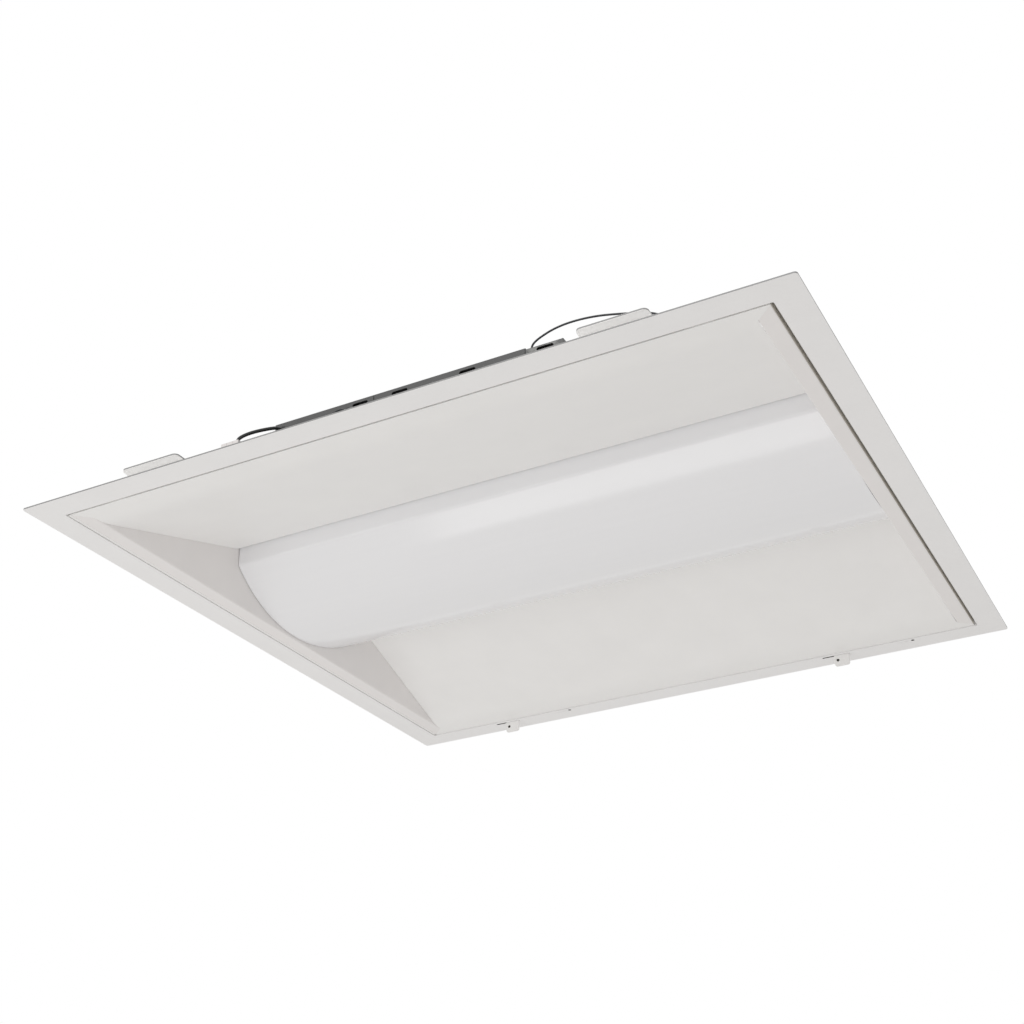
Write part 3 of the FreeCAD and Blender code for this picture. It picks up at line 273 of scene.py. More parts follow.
def shade(tree, out, inputs, height, relief):
    """Finish a material: its shader's inputs, and a bump of the relief's strength and depth in mm."""
    if relief:
        bump = add_node(tree, "ShaderNodeBump", {},
                        {"Height": (height, "Fac"), "Strength": relief[0], "Distance": relief[1] * MM})
        inputs = {**inputs, "Normal": (bump, "Normal")}
    shader = add_node(tree, "ShaderNodeBsdfPrincipled", {}, inputs)
    tree.links.new(shader.outputs[0], out.inputs[0])


def paint_edge_shade(tree, place, tone, code, start):
    """Painted shade: the colour turns to a grey on upright faces beyond a distance in mm from the middle."""
    axes = add_node(tree, "ShaderNodeSeparateXYZ", {}, {"Vector": (place, "Normal")})
    flat = add_node(tree, "ShaderNodeMath", {"operation": "ABSOLUTE"}, {0: (axes, "Z")})
    cover = add_node(tree, "ShaderNodeMapRange", {}, {"Value": (flat, 0), "From Min": 0.1, "From Max": 0.5})
    spot = add_node(tree, "ShaderNodeSeparateXYZ", {}, {"Vector": (place, "Object")})
    away = [add_node(tree, "ShaderNodeMath", {"operation": "ABSOLUTE"}, {0: (spot, axis)}) for axis in "XY"]
    away = add_node(tree, "ShaderNodeMath", {"operation": "MAXIMUM"}, {0: (away[0], 0), 1: (away[1], 0)})
    inner = add_node(tree, "ShaderNodeMath", {"operation": "LESS_THAN"}, {0: (away, 0), 1: start * MM})
    full = add_node(tree, "ShaderNodeMath", {"operation": "MAXIMUM"}, {0: (cover, "Result"), 1: (inner, 0)})
    return add_node(tree, "ShaderNodeMix", {"data_type": "RGBA"},
                    {0: (full, 0), 6: linear(code), 7: (tone, 2)})


def noise_finish(name, tones, patch, relief, rough, surface, edge=None):
    """A finish whose colour, gloss and relief follow soft noise of real sizes.

    The tones are its darkest and lightest colour. The patch is a size in mm, or one for each axis, with
    the noise's detail and roughness. The relief is the bump's strength and its depth in mm, then the same
    for a finer noise, or nothing where the patch makes the relief. Rough is one number, or a range of the
    patch and the roughness at its two ends. The surface holds the shader's other inputs."""
    material, tree, place, out = new_material(name)
    noises, where = [], (place, "Object")
    for layer in filter(None, (patch, relief[2:])):
        size, detail, fine = (*layer, 0.5)[:3]
        spot, scale = where, 1.0
        if isinstance(size, tuple):
            sizes = [per_mm(side) for side in size]
            spot = (add_node(tree, "ShaderNodeMapping", {}, {"Vector": where, "Scale": sizes}), "Vector")
        else:
            scale = per_mm(size)
        noises.append(add_node(tree, "ShaderNodeTexNoise", {},
                               {"Vector": spot, "Scale": scale, "Detail": detail, "Roughness": fine}))
    tone = add_node(tree, "ShaderNodeMix", {"data_type": "RGBA"},
                    {0: (noises[0], "Fac"), 6: linear(tones[0]), 7: linear(tones[1])})
    # Painted shade: upright faces beyond the given distance turn grey
    if edge:
        tone = paint_edge_shade(tree, place, tone, *edge)
    if isinstance(rough, tuple):
        ends = dict(zip(("From Min", "From Max", "To Min", "To Max"), rough))
        rough = (add_node(tree, "ShaderNodeMapRange", {}, {"Value": (noises[0], "Fac"), **ends}), "Result")
    shade(tree, out, {"Base Color": (tone, 2), "Roughness": rough, **surface}, noises[-1], relief)


def coated_steel(name, code, peel=1.6, gloss=0.4, edge=None):
    """Powder-coated steel: a baked powder skin, with a fine orange-peel swell and a faint cloudiness. Where
    an edge colour is given, its upright faces take that grey as painted shade.
    """
    noise_finish(name, (tinted(code, -4), tinted(code, 3)), (45, 3.0), (0.35, 0.02, peel, 2.0),
                 (0.3, 0.7, gloss - 0.05, gloss + 0.06), {"IOR": 1.5}, edge)


def galvanised_steel(name, dull, bright):
    """Hot-dip galvanised sheet: small flat zinc crystals, each with a slightly different grey and gloss."""
    material, tree, place, out = new_material(name)
    drift = add_node(tree, "ShaderNodeTexNoise", {},
                     {"Vector": (place, "Object"), "Scale": per_mm(5), "Detail": 2.0})
    bent = add_node(tree, "ShaderNodeMix", {"data_type": "VECTOR"},
                    {0: 0.006, 4: (place, "Object"), 5: (drift, "Color")})
    crystals = add_node(tree, "ShaderNodeTexVoronoi", {"feature": "F1"},
                        {"Vector": (bent, 1), "Scale": per_mm(6)})
    grey = add_node(tree, "ShaderNodeSeparateColor", {}, {"Color": (crystals, "Color")})
    tone = add_node(tree, "ShaderNodeMix", {"data_type": "RGBA"},
                    {0: (grey, "Red"), 6: linear(dull), 7: linear(bright)})
    rough = add_node(tree, "ShaderNodeMapRange", {},
                     {"Value": (grey, "Green"), "To Min": 0.4, "To Max": 0.52})
    grain = add_node(tree, "ShaderNodeTexNoise", {},
                     {"Vector": (place, "Object"), "Scale": per_mm(0.8), "Detail": 3.0})
    inputs = {"Base Color": (tone, 2), "Metallic": 0.85, "Roughness": (rough, "Result")}
    shade(tree, out, inputs, grain, (0.25, 0.02))


def painted_box_steel(code):
    """Dark satin paint on thin sheet: even colour with dry dust and a slight grain from the roller."""
    noise_finish("dark_box_paint", (tinted(code, -7), tinted(code, 8)), (18, 6.0, 0.65),
                 (0.3, 0.02, 0.6, 2.0), (0.35, 0.65, 0.36, 0.52), {"IOR": 1.5})


def plated_steel():
    """Bright zinc plating: a thin passivated skin with faint tints that drift over a few millimetres."""
    noise_finish("bright_zinc_plate", ("#B7BCC3", "#CBCBC4"), (4, 3.0), (), (0, 1, 0.24, 0.42),
                 {"Metallic": 1.0})


def rolled_spring_steel():
    """Hardened strip steel: blue-grey, with fine rolling lines along its length."""
    noise_finish("rolled_spring_steel", ("#6F767C", "#9AA0A5"), ((12, 0.5, 0.5), 3.0), (0.2, 0.01), 0.33,
                 {"Metallic": 1.0})


def frosted_acrylic(code):
    """Extruded opal acrylic: a milky body that passes some light, a satin skin and fine draw lines."""
    noise_finish("frosted_acrylic", (tinted(code, -1), tinted(code, 1)), ((140, 5, 5), 2.0),
                 (0.2, 0.01, 0.5, 1.0), 0.14, {"IOR": 1.49, "Transmission Weight": 0.04})


def moulded_plastic(name, code, grain=0.6, gloss=0.45, depth=0.03):
    """Moulded plastic with a spark-eroded texture: a fine even grain that breaks up its highlights."""
    noise_finish(name, (tinted(code, -5), tinted(code, 5)), (grain, 3.0), (0.4, depth), gloss, {"IOR": 1.5})


def cast_phosphor(code):
    """Phosphor in silicone: a soft yellow gel with fine grains, glossy on top."""
    noise_finish("led_phosphor", (tinted(code, -10), tinted(code, 10)), (0.3, 2.0), (), 0.25, {"IOR": 1.45})


def masked_board(code):
    """White solder mask over copper tracks: an even satin white, slightly raised over each track."""
    material, tree, place, out = new_material("white_solder_mask")
    tracks = add_node(tree, "ShaderNodeTexBrick", {"offset": 0.5},
                      {"Vector": (place, "Object"), "Scale": 1.0, "Mortar Size": 0.6 * MM,
                       "Brick Width": 17.5 * MM, "Row Height": 7.0 * MM,
                       "Color1": linear(code), "Color2": linear(tinted(code, -3)),
                       "Mortar": linear(tinted(code, -14))})
    shade(tree, out, {"Base Color": (tracks, "Color"), "Roughness": 0.4}, tracks, (0.4, 0.05))


# The finishes by the name that the operators use: the material, and the name of the record's slot for it

FINISHES = {
    "frame": ("white_frame_coat", "white_powder_coat"), "door": ("white_door_coat", "white_powder_coat"),
    "panel": ("white_panel_coat", "white_powder_coat"), "wing": ("white_wing_coat", "white_powder_coat"),
    "galvanised": ("spangled_zinc_sheet", "galvanised_steel"), "box": ("dark_box_paint", "dark_box_steel"),
    "box_end": ("weathered_zinc", "galvanised_steel"), "zinc": ("bright_zinc_plate", "zinc_plated_steel"),
    "spring": ("rolled_spring_steel", "spring_steel"), "lens": ("frosted_acrylic", "frosted_diffuser"),
    "board": ("white_solder_mask", "white_board"), "package": ("white_led_housing", "led_package"),
    "phosphor": ("led_phosphor", "led_package"), "driver": ("driver_polycarbonate", "driver_case"),
    "terminal": ("terminal_polyamide", "terminal_plastic"), "rubber": ("matt_black_rubber", "grommet_rubber"),
    "connector": ("connector_polycarbonate", "connector_plastic"), "cable": ("cable_pvc", "black_pvc"),
    "wire": ("wire_pvc", "black_pvc"), "seal": ("grey_seal_foam", "grommet_rubber"),
    "strip": ("white_strip_foam", "grommet_rubber"), "liner": ("black_liner_plastic", "grommet_rubber"),
}


def make_finishes(colours):
    """Make every material that the table of finishes names."""
    # Painted shade: the grey that the frame's outer edge and the wings' upright faces take
    grey = colours.edge_shade_grey
    coated_steel("white_frame_coat", colours.frame_white, peel=1.3, gloss=0.42, edge=(grey, 319))
    coated_steel("white_door_coat", colours.door_white)
    # Painted shade: a darker, warmer copy of the door's coat for the end panels
    coated_steel("white_panel_coat", colours.shaded_panel_white)
    coated_steel("white_wing_coat", colours.wing_white, peel=1.1, gloss=0.34, edge=(grey, 0))
    galvanised_steel("spangled_zinc_sheet", colours.zinc_dull, colours.zinc_bright)
    galvanised_steel("weathered_zinc", colours.end_dull, colours.end_bright)
    painted_box_steel(colours.box_dark)
    plated_steel()
    rolled_spring_steel()
    frosted_acrylic(colours.lens_white)
    masked_board(colours.board_white)
    cast_phosphor(colours.phosphor)
    moulded_plastic("white_led_housing", "#E6E5DE", grain=0.4, gloss=0.35, depth=0.01)
    moulded_plastic("driver_polycarbonate", colours.plastic_white)
    moulded_plastic("terminal_polyamide", "#D9D8D0", gloss=0.4)
    moulded_plastic("connector_polycarbonate", colours.plastic_grey)
    moulded_plastic("cable_pvc", colours.cable_black, grain=1.2, gloss=0.34, depth=0.02)
    moulded_plastic("wire_pvc", colours.wire_black, grain=0.9, gloss=0.3, depth=0.01)
    moulded_plastic("matt_black_rubber", "#232425", grain=0.5, gloss=0.62)
    # Painted shade: grey foam that darkens the reveal
    moulded_plastic("grey_seal_foam", colours.reveal_shade_grey, grain=0.7, gloss=0.8, depth=0.08)
    moulded_plastic("white_strip_foam", colours.door_white, grain=0.7, gloss=0.8, depth=0.08)
    # Painted shade: dark liners and pins for the shade in slots and holes
    moulded_plastic("black_liner_plastic", "#26241F", grain=0.5, gloss=0.5)


def put(name, points, faces, finish, body, *nodes):
    """Make a piece from points and faces, closed where they meet and with its faces outwards."""
    mesh = bpy.data.meshes.new(name)
    mesh.from_pydata(np.asarray(points).reshape(-1, 3).tolist(), [], [list(face) for face in faces])
    work = bmesh.new()
    work.from_mesh(mesh)
    bmesh.ops.remove_doubles(work, verts=work.verts, dist=1e-6)
    bmesh.ops.recalc_face_normals(work, faces=work.faces)
    work.to_mesh(mesh)
    work.free()
    return place_piece(name, smooth(mesh), finish, body, *nodes)


def add_object(name, data):
    """A new object in the scene, at the origin."""
    thing = bpy.data.objects.new(name, data)
    bpy.context.scene.collection.objects.link(thing)
    return thing


def smooth(mesh):
    """Shade a mesh smooth, with a sharp edge where its faces meet at more than 35 degrees."""
    mesh.polygons.foreach_set("use_smooth", np.ones(len(mesh.polygons), bool))
    mesh.set_sharp_from_angle(angle=math.radians(35))
    return mesh


def place_piece(name, data, finish, body, *nodes):
    """Give a mesh or curve its object, finish and body, and hide the nodes that it stands for."""
    piece = add_object(name, data)
    data.materials.append(bpy.data.materials[FINISHES[finish][0]])
    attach(piece, body)
    if nodes:
        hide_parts(*nodes)
    return piece


def even_normals(piece):
    """Let the large faces decide the shading, so that flat sheets stay flat beside their folds."""
    weigh = piece.modifiers.new("even normals", "WEIGHTED_NORMAL")
    weigh.keep_sharp = True
    weigh.weight = 80
    return piece


def softened(node, finish, edge):
    """A copy of a CAD node with its triangles merged into flat faces and a small round on its edges."""
    source = frame["nodes"][node]
    mesh = bpy.data.meshes.new(node + "_skin")
    work = bmesh.new()
    work.from_mesh(source.data)
    bmesh.ops.remove_doubles(work, verts=work.verts, dist=2e-6)
    bmesh.ops.dissolve_limit(work, angle_limit=math.radians(0.4), use_dissolve_boundaries=False,
                             verts=work.verts, edges=work.edges, delimit=set())
    work.to_mesh(mesh)
    work.free()
    piece = place_piece(node + "_skin", smooth(mesh), finish, source["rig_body"], node)
    bevel = piece.modifiers.new("edge round", "BEVEL")
    bevel.width = edge
    bevel.segments = 2
    bevel.limit_method = "ANGLE"
    bevel.angle_limit = math.radians(35)
    return even_normals(piece)


def bent_line(corners, radii, steps):
    """Points along a line with an arc at each inner corner, and the unit vector to the left at each point.

    An arc runs between the two points where a circle of its radius touches the runs that meet at the
    corner. Its points are the circle's centre less the turned left vector times the radius."""
    corners = np.asarray(corners, float)
    runs = np.diff(corners, axis=0)
    ways = runs / np.linalg.norm(runs, axis=1)[:, None]
    sides = np.stack([-ways[:, 1], ways[:, 0]], 1)
    points, lefts = [corners[:1]], [sides[:1]]
    for i, (radius, count) in enumerate(zip(radii, steps)):
        turn = math.atan2(np.cross(ways[i], ways[i + 1]), ways[i] @ ways[i + 1])
        if abs(turn) < 1e-6 or count == 0:
            points.append(corners[i + 1:i + 2])
            lefts.append(sides[i:i + 1])
            continue
        hand = math.copysign(1, turn)
        start = corners[i + 1] - ways[i] * radius * math.tan(abs(turn) / 2)
        centre = start + sides[i] * radius * hand
        angles = turn * np.linspace(0, 1, count + 1)
        spin = np.stack([np.cos(angles), -np.sin(angles), np.sin(angles), np.cos(angles)], 1)
        arc = spin.reshape(-1, 2, 2) @ sides[i]
        points.append(centre - arc * radius * hand)
        lefts.append(arc)
    points.append(corners[-1:])
    lefts.append(sides[-1:])
    return np.concatenate(points), np.concatenate(lefts)


def sheet_faces(present):
    """Faces of a sheet from the table of which of its cells are there.

    Corner (i, j) of the front is number i * columns + j, and the back follows with the same order. Each cell
    gives one square in front and one behind, and each side of a cell with no neighbour gives a wall."""
    rows, columns = present.shape[0] + 1, present.shape[1] + 1
    number = np.arange(rows * columns).reshape(rows, columns)
    back = rows * columns
    a, b, c, d = number[:-1, :-1], number[1:, :-1], number[1:, 1:], number[:-1, 1:]
    framed = np.pad(present, 1)
    faces = [np.stack([a, b, c, d], -1)[present], np.stack([d, c, b, a], -1)[present] + back]
    walls = ((a, b, framed[1:-1, :-2]), (b, c, framed[2:, 1:-1]), (c, d, framed[1:-1, 2:]),
             (d, a, framed[:-2, 1:-1]))
    for first, second, neighbour in walls:
        open_side = present & ~neighbour
        quad = np.stack([second, first, first + back, second + back], -1)
        faces.append(quad[open_side])
    return np.concatenate(faces)


def folded_sheet(line, thickness, reach, breaks, present, axis):
    """Front and back points of a folded sheet: a bent line carried along X or Y.

    The section is the line and the same line moved to its left by the thickness. Each section point is
    carried from one end to the other, and reach gives where the ends are for that point. Breaks are the
    places between the ends where cells start and stop."""
    points, lefts = line
    sides = []
    for section in (points, points + lefts * thickness):
        ends = reach(section[:, 0], section[:, 1])
        stations = [-ends] + [np.full(len(ends), place) for place in breaks] + [ends]
        along = np.stack(stations, 1)
        across = np.repeat(section[:, :1], along.shape[1], 1)
        up = np.repeat(section[:, 1:], along.shape[1], 1)
        order = (along, across, up) if axis == "X" else (across, along, up)
        sides.append(np.stack(order, -1).reshape(-1, 3))
    return np.concatenate(sides), sheet_faces(present)


def turned(profile, sides, centre, axis="Z"):
    """Points and faces of a shape turned about an axis: radius and height pairs swept round evenly."""
    profile = np.asarray(profile, float)
    angles = np.linspace(0, 2 * math.pi, sides, endpoint=False)
    u = profile[:, :1] * np.cos(angles)
    v = profile[:, :1] * np.sin(angles)
    w = np.repeat(profile[:, 1:], sides, 1)
    order = {"X": (w, u, v), "Y": (v, w, u), "Z": (u, v, w)}[axis]
    points = np.stack(order, -1) + np.asarray(centre)
    return points.reshape(-1, 3), ring_faces(len(profile), sides)


def ring_faces(rows, sides):
    """Squares between neighbouring rings of equal numbers of points."""
    number = np.arange(rows * sides).reshape(rows, sides)
    after = np.roll(number, -1, axis=1)
    return np.stack([number[:-1], after[:-1], after[1:], number[1:]], -1).reshape(-1, 4)


def joined(parts):
    """Points and faces of several shapes as one mesh. Faces may differ in their number of corners."""
    points, faces, start = [], [], 0
    for part_points, part_faces in parts:
        points.append(part_points)
        faces += [[corner + start for corner in face] for face in part_faces]
        start += len(part_points)
    return np.concatenate(points), faces


def small_head(centre, radius, height, up, recess):
    """Low domed screw head with a cross recess.

    Its height over a point is the head height times one less the cube of the distance share, and a cross
    of two bars is lowered by the recess depth, with sloping walls. A rim and a closed back finish it."""
    share = np.concatenate([np.linspace(0, 0.62, 14), [0.7, 0.8, 0.88, 0.94, 0.98, 1.0]])
    sides = 48
    angles = np.linspace(0, 2 * math.pi, sides, endpoint=False)
    x = share[:, None] * radius * np.cos(angles)
    y = share[:, None] * radius * np.sin(angles)
    z = height * (1 - 0.62 * share[:, None] ** 3) * np.ones(sides)
    bar, wall = 0.16 * radius, 0.1 * radius
    inside = np.clip((bar + wall - np.minimum(abs(x), abs(y))) / wall, 0, 1)
    inside *= np.clip((0.58 - share[:, None]) / 0.08, 0, 1)
    z = z - recess * inside
    foot = np.zeros((2, sides, 3))
    foot[0, :, 0], foot[0, :, 1] = x[-1], y[-1]
    dome = np.stack([x, y, z], -1)
    points = np.concatenate([dome, foot])
    points[..., 2] *= up
    return points.reshape(-1, 3) + np.asarray(centre), ring_faces(len(points), sides)


def rivet_head(centre, radius, height):
    """Domed head of a blind rivet: a flat ball cap with the small hole of its pin in the middle."""
    hole = 0.3
    profile = [(0, 0.55 * height), (hole * radius, 0.55 * height), (hole * radius, 0.94 * height)]
    profile += [(s * radius, height * math.sqrt(1 - 0.98 * s * s)) for s in (0.4, 0.55, 0.7, 0.82, 0.92, 1.0)]
    profile += [(radius, 0), (0, 0)]
    return turned(profile, 20, centre)


# Where the joints between CAD parts are, read from the frame

def box_of(node):
    """Lowest and highest corner of a CAD node as arrays."""
    low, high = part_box(node)
    return np.array(low), np.array(high)


def middles(node, axis, gap=1.0):
    """Middles of the groups that a node's corners fall into along an axis, parted by a gap in millimetres."""
    mesh = frame["nodes"][node].data
    spots = np.empty(len(mesh.vertices) * 3)
    mesh.vertices.foreach_get("co", spots)
    places = np.sort(spots[axis::3])
    cuts = np.flatnonzero(np.diff(places) > gap * MM)
    return (places[np.append(0, cuts + 1)] + places[np.append(cuts, len(places) - 1)]) / 2


# Operators, one for each piece or group of like pieces

class TrofferOperator:
    """What all the operators share: each dresses the CAD nodes that it lists, and then makes its own pieces.

    A row of the list holds a finish, the name of the edge round's size, and the nodes."""

    bl_options = {"REGISTER", "UNDO"}
    dressed = ()

    def execute(self, context):
        for finish, edge, *nodes in self.dressed:
            for node in nodes:
                softened(node, finish, getattr(context.scene.troffer_details, edge))
        self.make(context.scene)
        return {"FINISHED"}

    def make(self, scene):
        """Make the pieces that aren't copies of CAD nodes."""


class TROFFER_OT_finishes(TrofferOperator, bpy.types.Operator):
    """Make the materials of every finish"""

    bl_idname = "troffer.finishes"
    bl_label = "Finishes"

    def make(self, scene):
        make_finishes(scene.troffer_colours)


class TROFFER_OT_trim_frame(TrofferOperator, bpy.types.Operator):
    """Dress the welded flange and collar"""

    bl_idname = "troffer.trim_frame"
    bl_label = "Trim frame"
    dressed = (("frame", "edge", "trim_frame"),)


def panel_x(door, z):
    """Distance from the centre to an end panel's visible face at a height."""
    return door.half - door.end_border - math.tan(door.lean) * (z - door.face_z)


def reflector_line(door):
    """Section of a reflector's visible face: lip, border, soft bend, slope and hem, with Y negative."""
    knee = door.half - door.side_border
    foot = door.half - door.end_border
    top = door.face_z + math.tan(door.angle) * (knee - door.lens_half)
    lip = door.face_z + door.lip
    corners = [(-door.half, lip), (-door.half, door.slot_high), (-door.half, door.slot_low),
               (-door.half, door.face_z), (-foot, door.face_z), (-knee, door.face_z), (-door.lens_half, top),
               (-door.lens_half, door.hem_z)]
    return bent_line(corners, [0, 0, door.lip_crease, 0, door.bend, door.hem_bend], [0, 0, 6, 0, 28, 6])


def hinge_gaps(door):
    """Places along X where the near lip stops and starts again, and the numbers of the cells between them."""
    low, high = box_of("hinge_arm_left")
    middle = abs(low[0] + high[0]) / 2
    gap = door.hinge_gap
    return [-middle - gap, -middle + gap, middle - gap, middle + gap], [1, 3]


def latch_gaps():
    """Places along X where the far lip is cut for the latch tongues, and the numbers of the cut cells.

    Each latch has a low leg of 11 mm and then, in two cells, an entry of 11 mm that is open to the top of
    the lip. The places are set out from a point 11.2 mm beyond the middle of the slider."""
    ends = [sum(box_of(node))[0] / 2 + 11.2 * MM for node in ("latch_slider_1", "latch_slider_2")]
    breaks = [end + step * MM for end in ends for step in (-21, -10, 0, 1)]
    return breaks, [1, 2, 3, 5, 6, 7]


class TROFFER_OT_reflectors(TrofferOperator, bpy.types.Operator):
    """Make the near and far reflectors with their soft bends, lips and notches"""

    bl_idname = "troffer.reflectors"
    bl_label = "Reflectors"

    def make(self, scene):
        door = scene.troffer_door
        line = reflector_line(door)
        foot = door.half - door.end_border
        level = 0.05 * MM
        tuck = 0.35 * door.crease

        def reach(y, z):
            """Ends of the sheet: the mitre beyond the panel's foot, and the leaning panel inside it.

            The level border is tucked a little under the panel's round crease, so that no gap shows."""
            under = np.where(z < door.face_z + level, tuck, 0)
            return np.where(-y > foot - 1e-6, -y - door.mitre, panel_x(door, z) - door.fit + under)

        near_breaks, near_cut = hinge_gaps(door)
        far_breaks, far_cut = latch_gaps()
        near = np.ones((len(line[0]) - 1, len(near_breaks) + 1), bool)
        far = np.ones((len(line[0]) - 1, len(far_breaks) + 1), bool)
        near[:3, near_cut] = False
        far[1, far_cut] = False
        far[0, np.setdiff1d(far_cut, far_cut[::3])] = False
        for side, hand, breaks, present in (("near", 1, near_breaks, near), ("far", -1, far_breaks, far)):
            points, faces = folded_sheet(line, door.sheet, reach, breaks, present, "X")
            points[:, 1] *= hand
            even_normals(put(side + "_reflector_sheet", points, faces, "door", "door", side + "_reflector"))


class TROFFER_OT_end_panels(TrofferOperator, bpy.types.Operator):
    """Make the two leaning end panels with their creases and returns"""

    bl_idname = "troffer.end_panels"
    bl_label = "End panels"

    def make(self, scene):
        door = scene.troffer_door
        knee = door.half - door.side_border
        foot = door.half - door.end_border
        drop = 1 * MM
        kink = 0.2 * MM
        top = door.hem_z - drop
        step = door.face_z + door.panel_margin
        shoulder = door.lens_half + door.panel_shoulder
        corners = [(-door.half, door.face_z + door.lip), (-door.half, door.face_z), (-foot, door.face_z),
                   (-panel_x(door, step), step), (-panel_x(door, step + kink), step + kink),
                   (-panel_x(door, top), top), (-panel_x(door, top) - door.panel_return, top)]
        line = bent_line(corners, [door.lip_crease, door.crease, 0, 0, door.crease], [6, 6, 0, 0, 6])

        def reach(x, z):
            """Ends of the panel: the mitre, a full-width foot, then the slope up to the shoulder."""
            slope = (knee - shoulder) / (top + drop - step)
            inner = np.where(z > step + kink / 2, knee - slope * (z - step), foot - door.mitre)
            return np.where(-x > foot, -x - door.mitre, inner)

        rows = len(line[0]) - 1
        for name, hand in (("left", 1), ("right", -1)):
            points, faces = folded_sheet(line, door.sheet, reach, [], np.ones((rows, 1), bool), "Y")
            points[:, 0] *= hand
            even_normals(put("end_panel_%s_sheet" % name, points, faces, "panel", "door",
                             "end_panel_" + name))


class TROFFER_OT_door_seal(TrofferOperator, bpy.types.Operator):
    """Fit the foam in the reveal: thin with a gasket above it on two sides, a thick strip on the others. The
    grey foam is painted shade in the reveal
    """

    bl_idname = "troffer.door_seal"
    bl_label = "Door seal"

    def make(self, scene):
        door = scene.troffer_door
        tall = (door.seal_high, door.seal_split, door.seal_low)
        row = 1 * MM
        short = (door.seal_high, door.seal_high - row, door.seal_high - 2 * row)
        tape = door.half + door.seal
        strip = door.half + door.strip
        collar, gap = door.collar, door.gasket_gap
        hinge, latch, whole = hinge_gaps(door), latch_gaps(), ([], [])
        # Painted shade: the lengths with the grey finish darken the reveal on the right and near sides
        lengths = (
            ("door_seal_near", "door", "X", 1, tape, door.half, tall, "strip", hinge, 1),
            ("door_seal_right", "door", "Y", -1, tape, door.half, tall, "seal", whole, 1),
            ("door_seal_far", "door", "X", -1, strip, door.half, tall, "strip", latch, 1),
            ("door_seal_left", "door", "Y", 1, strip, door.half, tall, "strip", whole, 1),
            ("door_gasket_right", "door", "Y", -1, collar - gap, door.half, short, "seal", whole, 1),
            ("frame_gasket_near", "fixture", "X", 1, collar, collar - door.gasket, short, "seal", hinge, 2))
        for one in lengths:
            self.foam(*one)

    def foam(self, name, body, axis, hand, outer, inner, heights, finish, gaps, cut_rows):
        """One length of foam between two distances from the middle, stopped by the door's corners.

        It lies a hair clear of both, runs down over three heights, and its upper rows are left out at the
        gaps."""
        hair = 0.02 * MM
        door = bpy.context.scene.troffer_door
        breaks, cut = gaps
        line = bent_line([(-outer + hair, door.face_z + height) for height in heights], [0], [0])
        present = np.ones((2, len(breaks) + 1), bool)
        present[:cut_rows, cut] = False

        def reach(across, z):
            return np.minimum(-across, door.half) - door.mitre

        points, faces = folded_sheet(line, outer - inner - 2 * hair, reach, breaks, present, axis)
        points[:, 1 if axis == "X" else 0] *= hand
        put(name, points, faces, finish, body)


class TROFFER_OT_diffuser(TrofferOperator, bpy.types.Operator):
    """Make the curved frosted diffuser with its flanks and flange"""

    bl_idname = "troffer.diffuser"
    bl_label = "Diffuser"

    def make(self, scene):
        door = scene.troffer_door
        lens = scene.troffer_diffuser
        half = door.lens_half - lens.fit
        edge = half - lens.slant
        edge_z = door.hem_z - lens.flank
        radius = (edge ** 2 + lens.drop ** 2) / (2 * lens.drop)
        apex = edge_z - edge * math.tan(math.asin(edge / radius))
        rim = half + lens.flange
        corners = [(-rim, door.hem_z), (-half, door.hem_z), (-edge, edge_z), (0, apex),
                   (edge, edge_z), (half, door.hem_z), (rim, door.hem_z)]
        smooth = radius - 2 * lens.corner
        line = bent_line(corners, [lens.fold, lens.corner, smooth, lens.corner, lens.fold],
                         [3, 8, 80, 8, 3])

        def reach(y, z):
            """Ends of the diffuser: the leaning end panels less a gap."""
            return panel_x(door, z) - lens.end_gap + 0 * y

        rows = len(line[0]) - 1
        points, faces = folded_sheet(line, lens.wall, reach, [], np.ones((rows, 1), bool), "X")
        even_normals(put("diffuser", points, faces, "lens", "door", "lens"))


class TROFFER_OT_door_fittings(TrofferOperator, bpy.types.Operator):
    """Dress the clips, corner plates and hinge ears of the door, and make its rivets"""

    bl_idname = "troffer.door_fittings"
    bl_label = "Door fittings"
    dressed = (("spring", "fine_edge", "lens_clips"),
               ("door", "fine_edge", "door_gussets", "hinge_ear_left", "hinge_ear_right"))

    def make(self, scene):
        heads = []
        low, high = box_of("gusset_rivets")
        places = middles("gusset_rivets", 0)
        radius = high[0] - places[-1]
        for x, y in zip(places, places[[1, 0, 3, 2]]):
            heads += [rivet_head((a, b, low[2]), radius, high[2] - low[2]) for a, b in ((x, y), (x, -y))]
        put("door_rivets", *joined(heads), "zinc", "door", "gusset_rivets")


class TROFFER_OT_housing(TrofferOperator, bpy.types.Operator):
    """Dress the housing over the diffuser and the folded supports"""

    bl_idname = "troffer.housing"
    bl_label = "Housing and supports"
    dressed = (("galvanised", "edge", "housing_channel", "housing_end_left", "housing_end_right",
                "driver_shelf", "far_bridge"),)


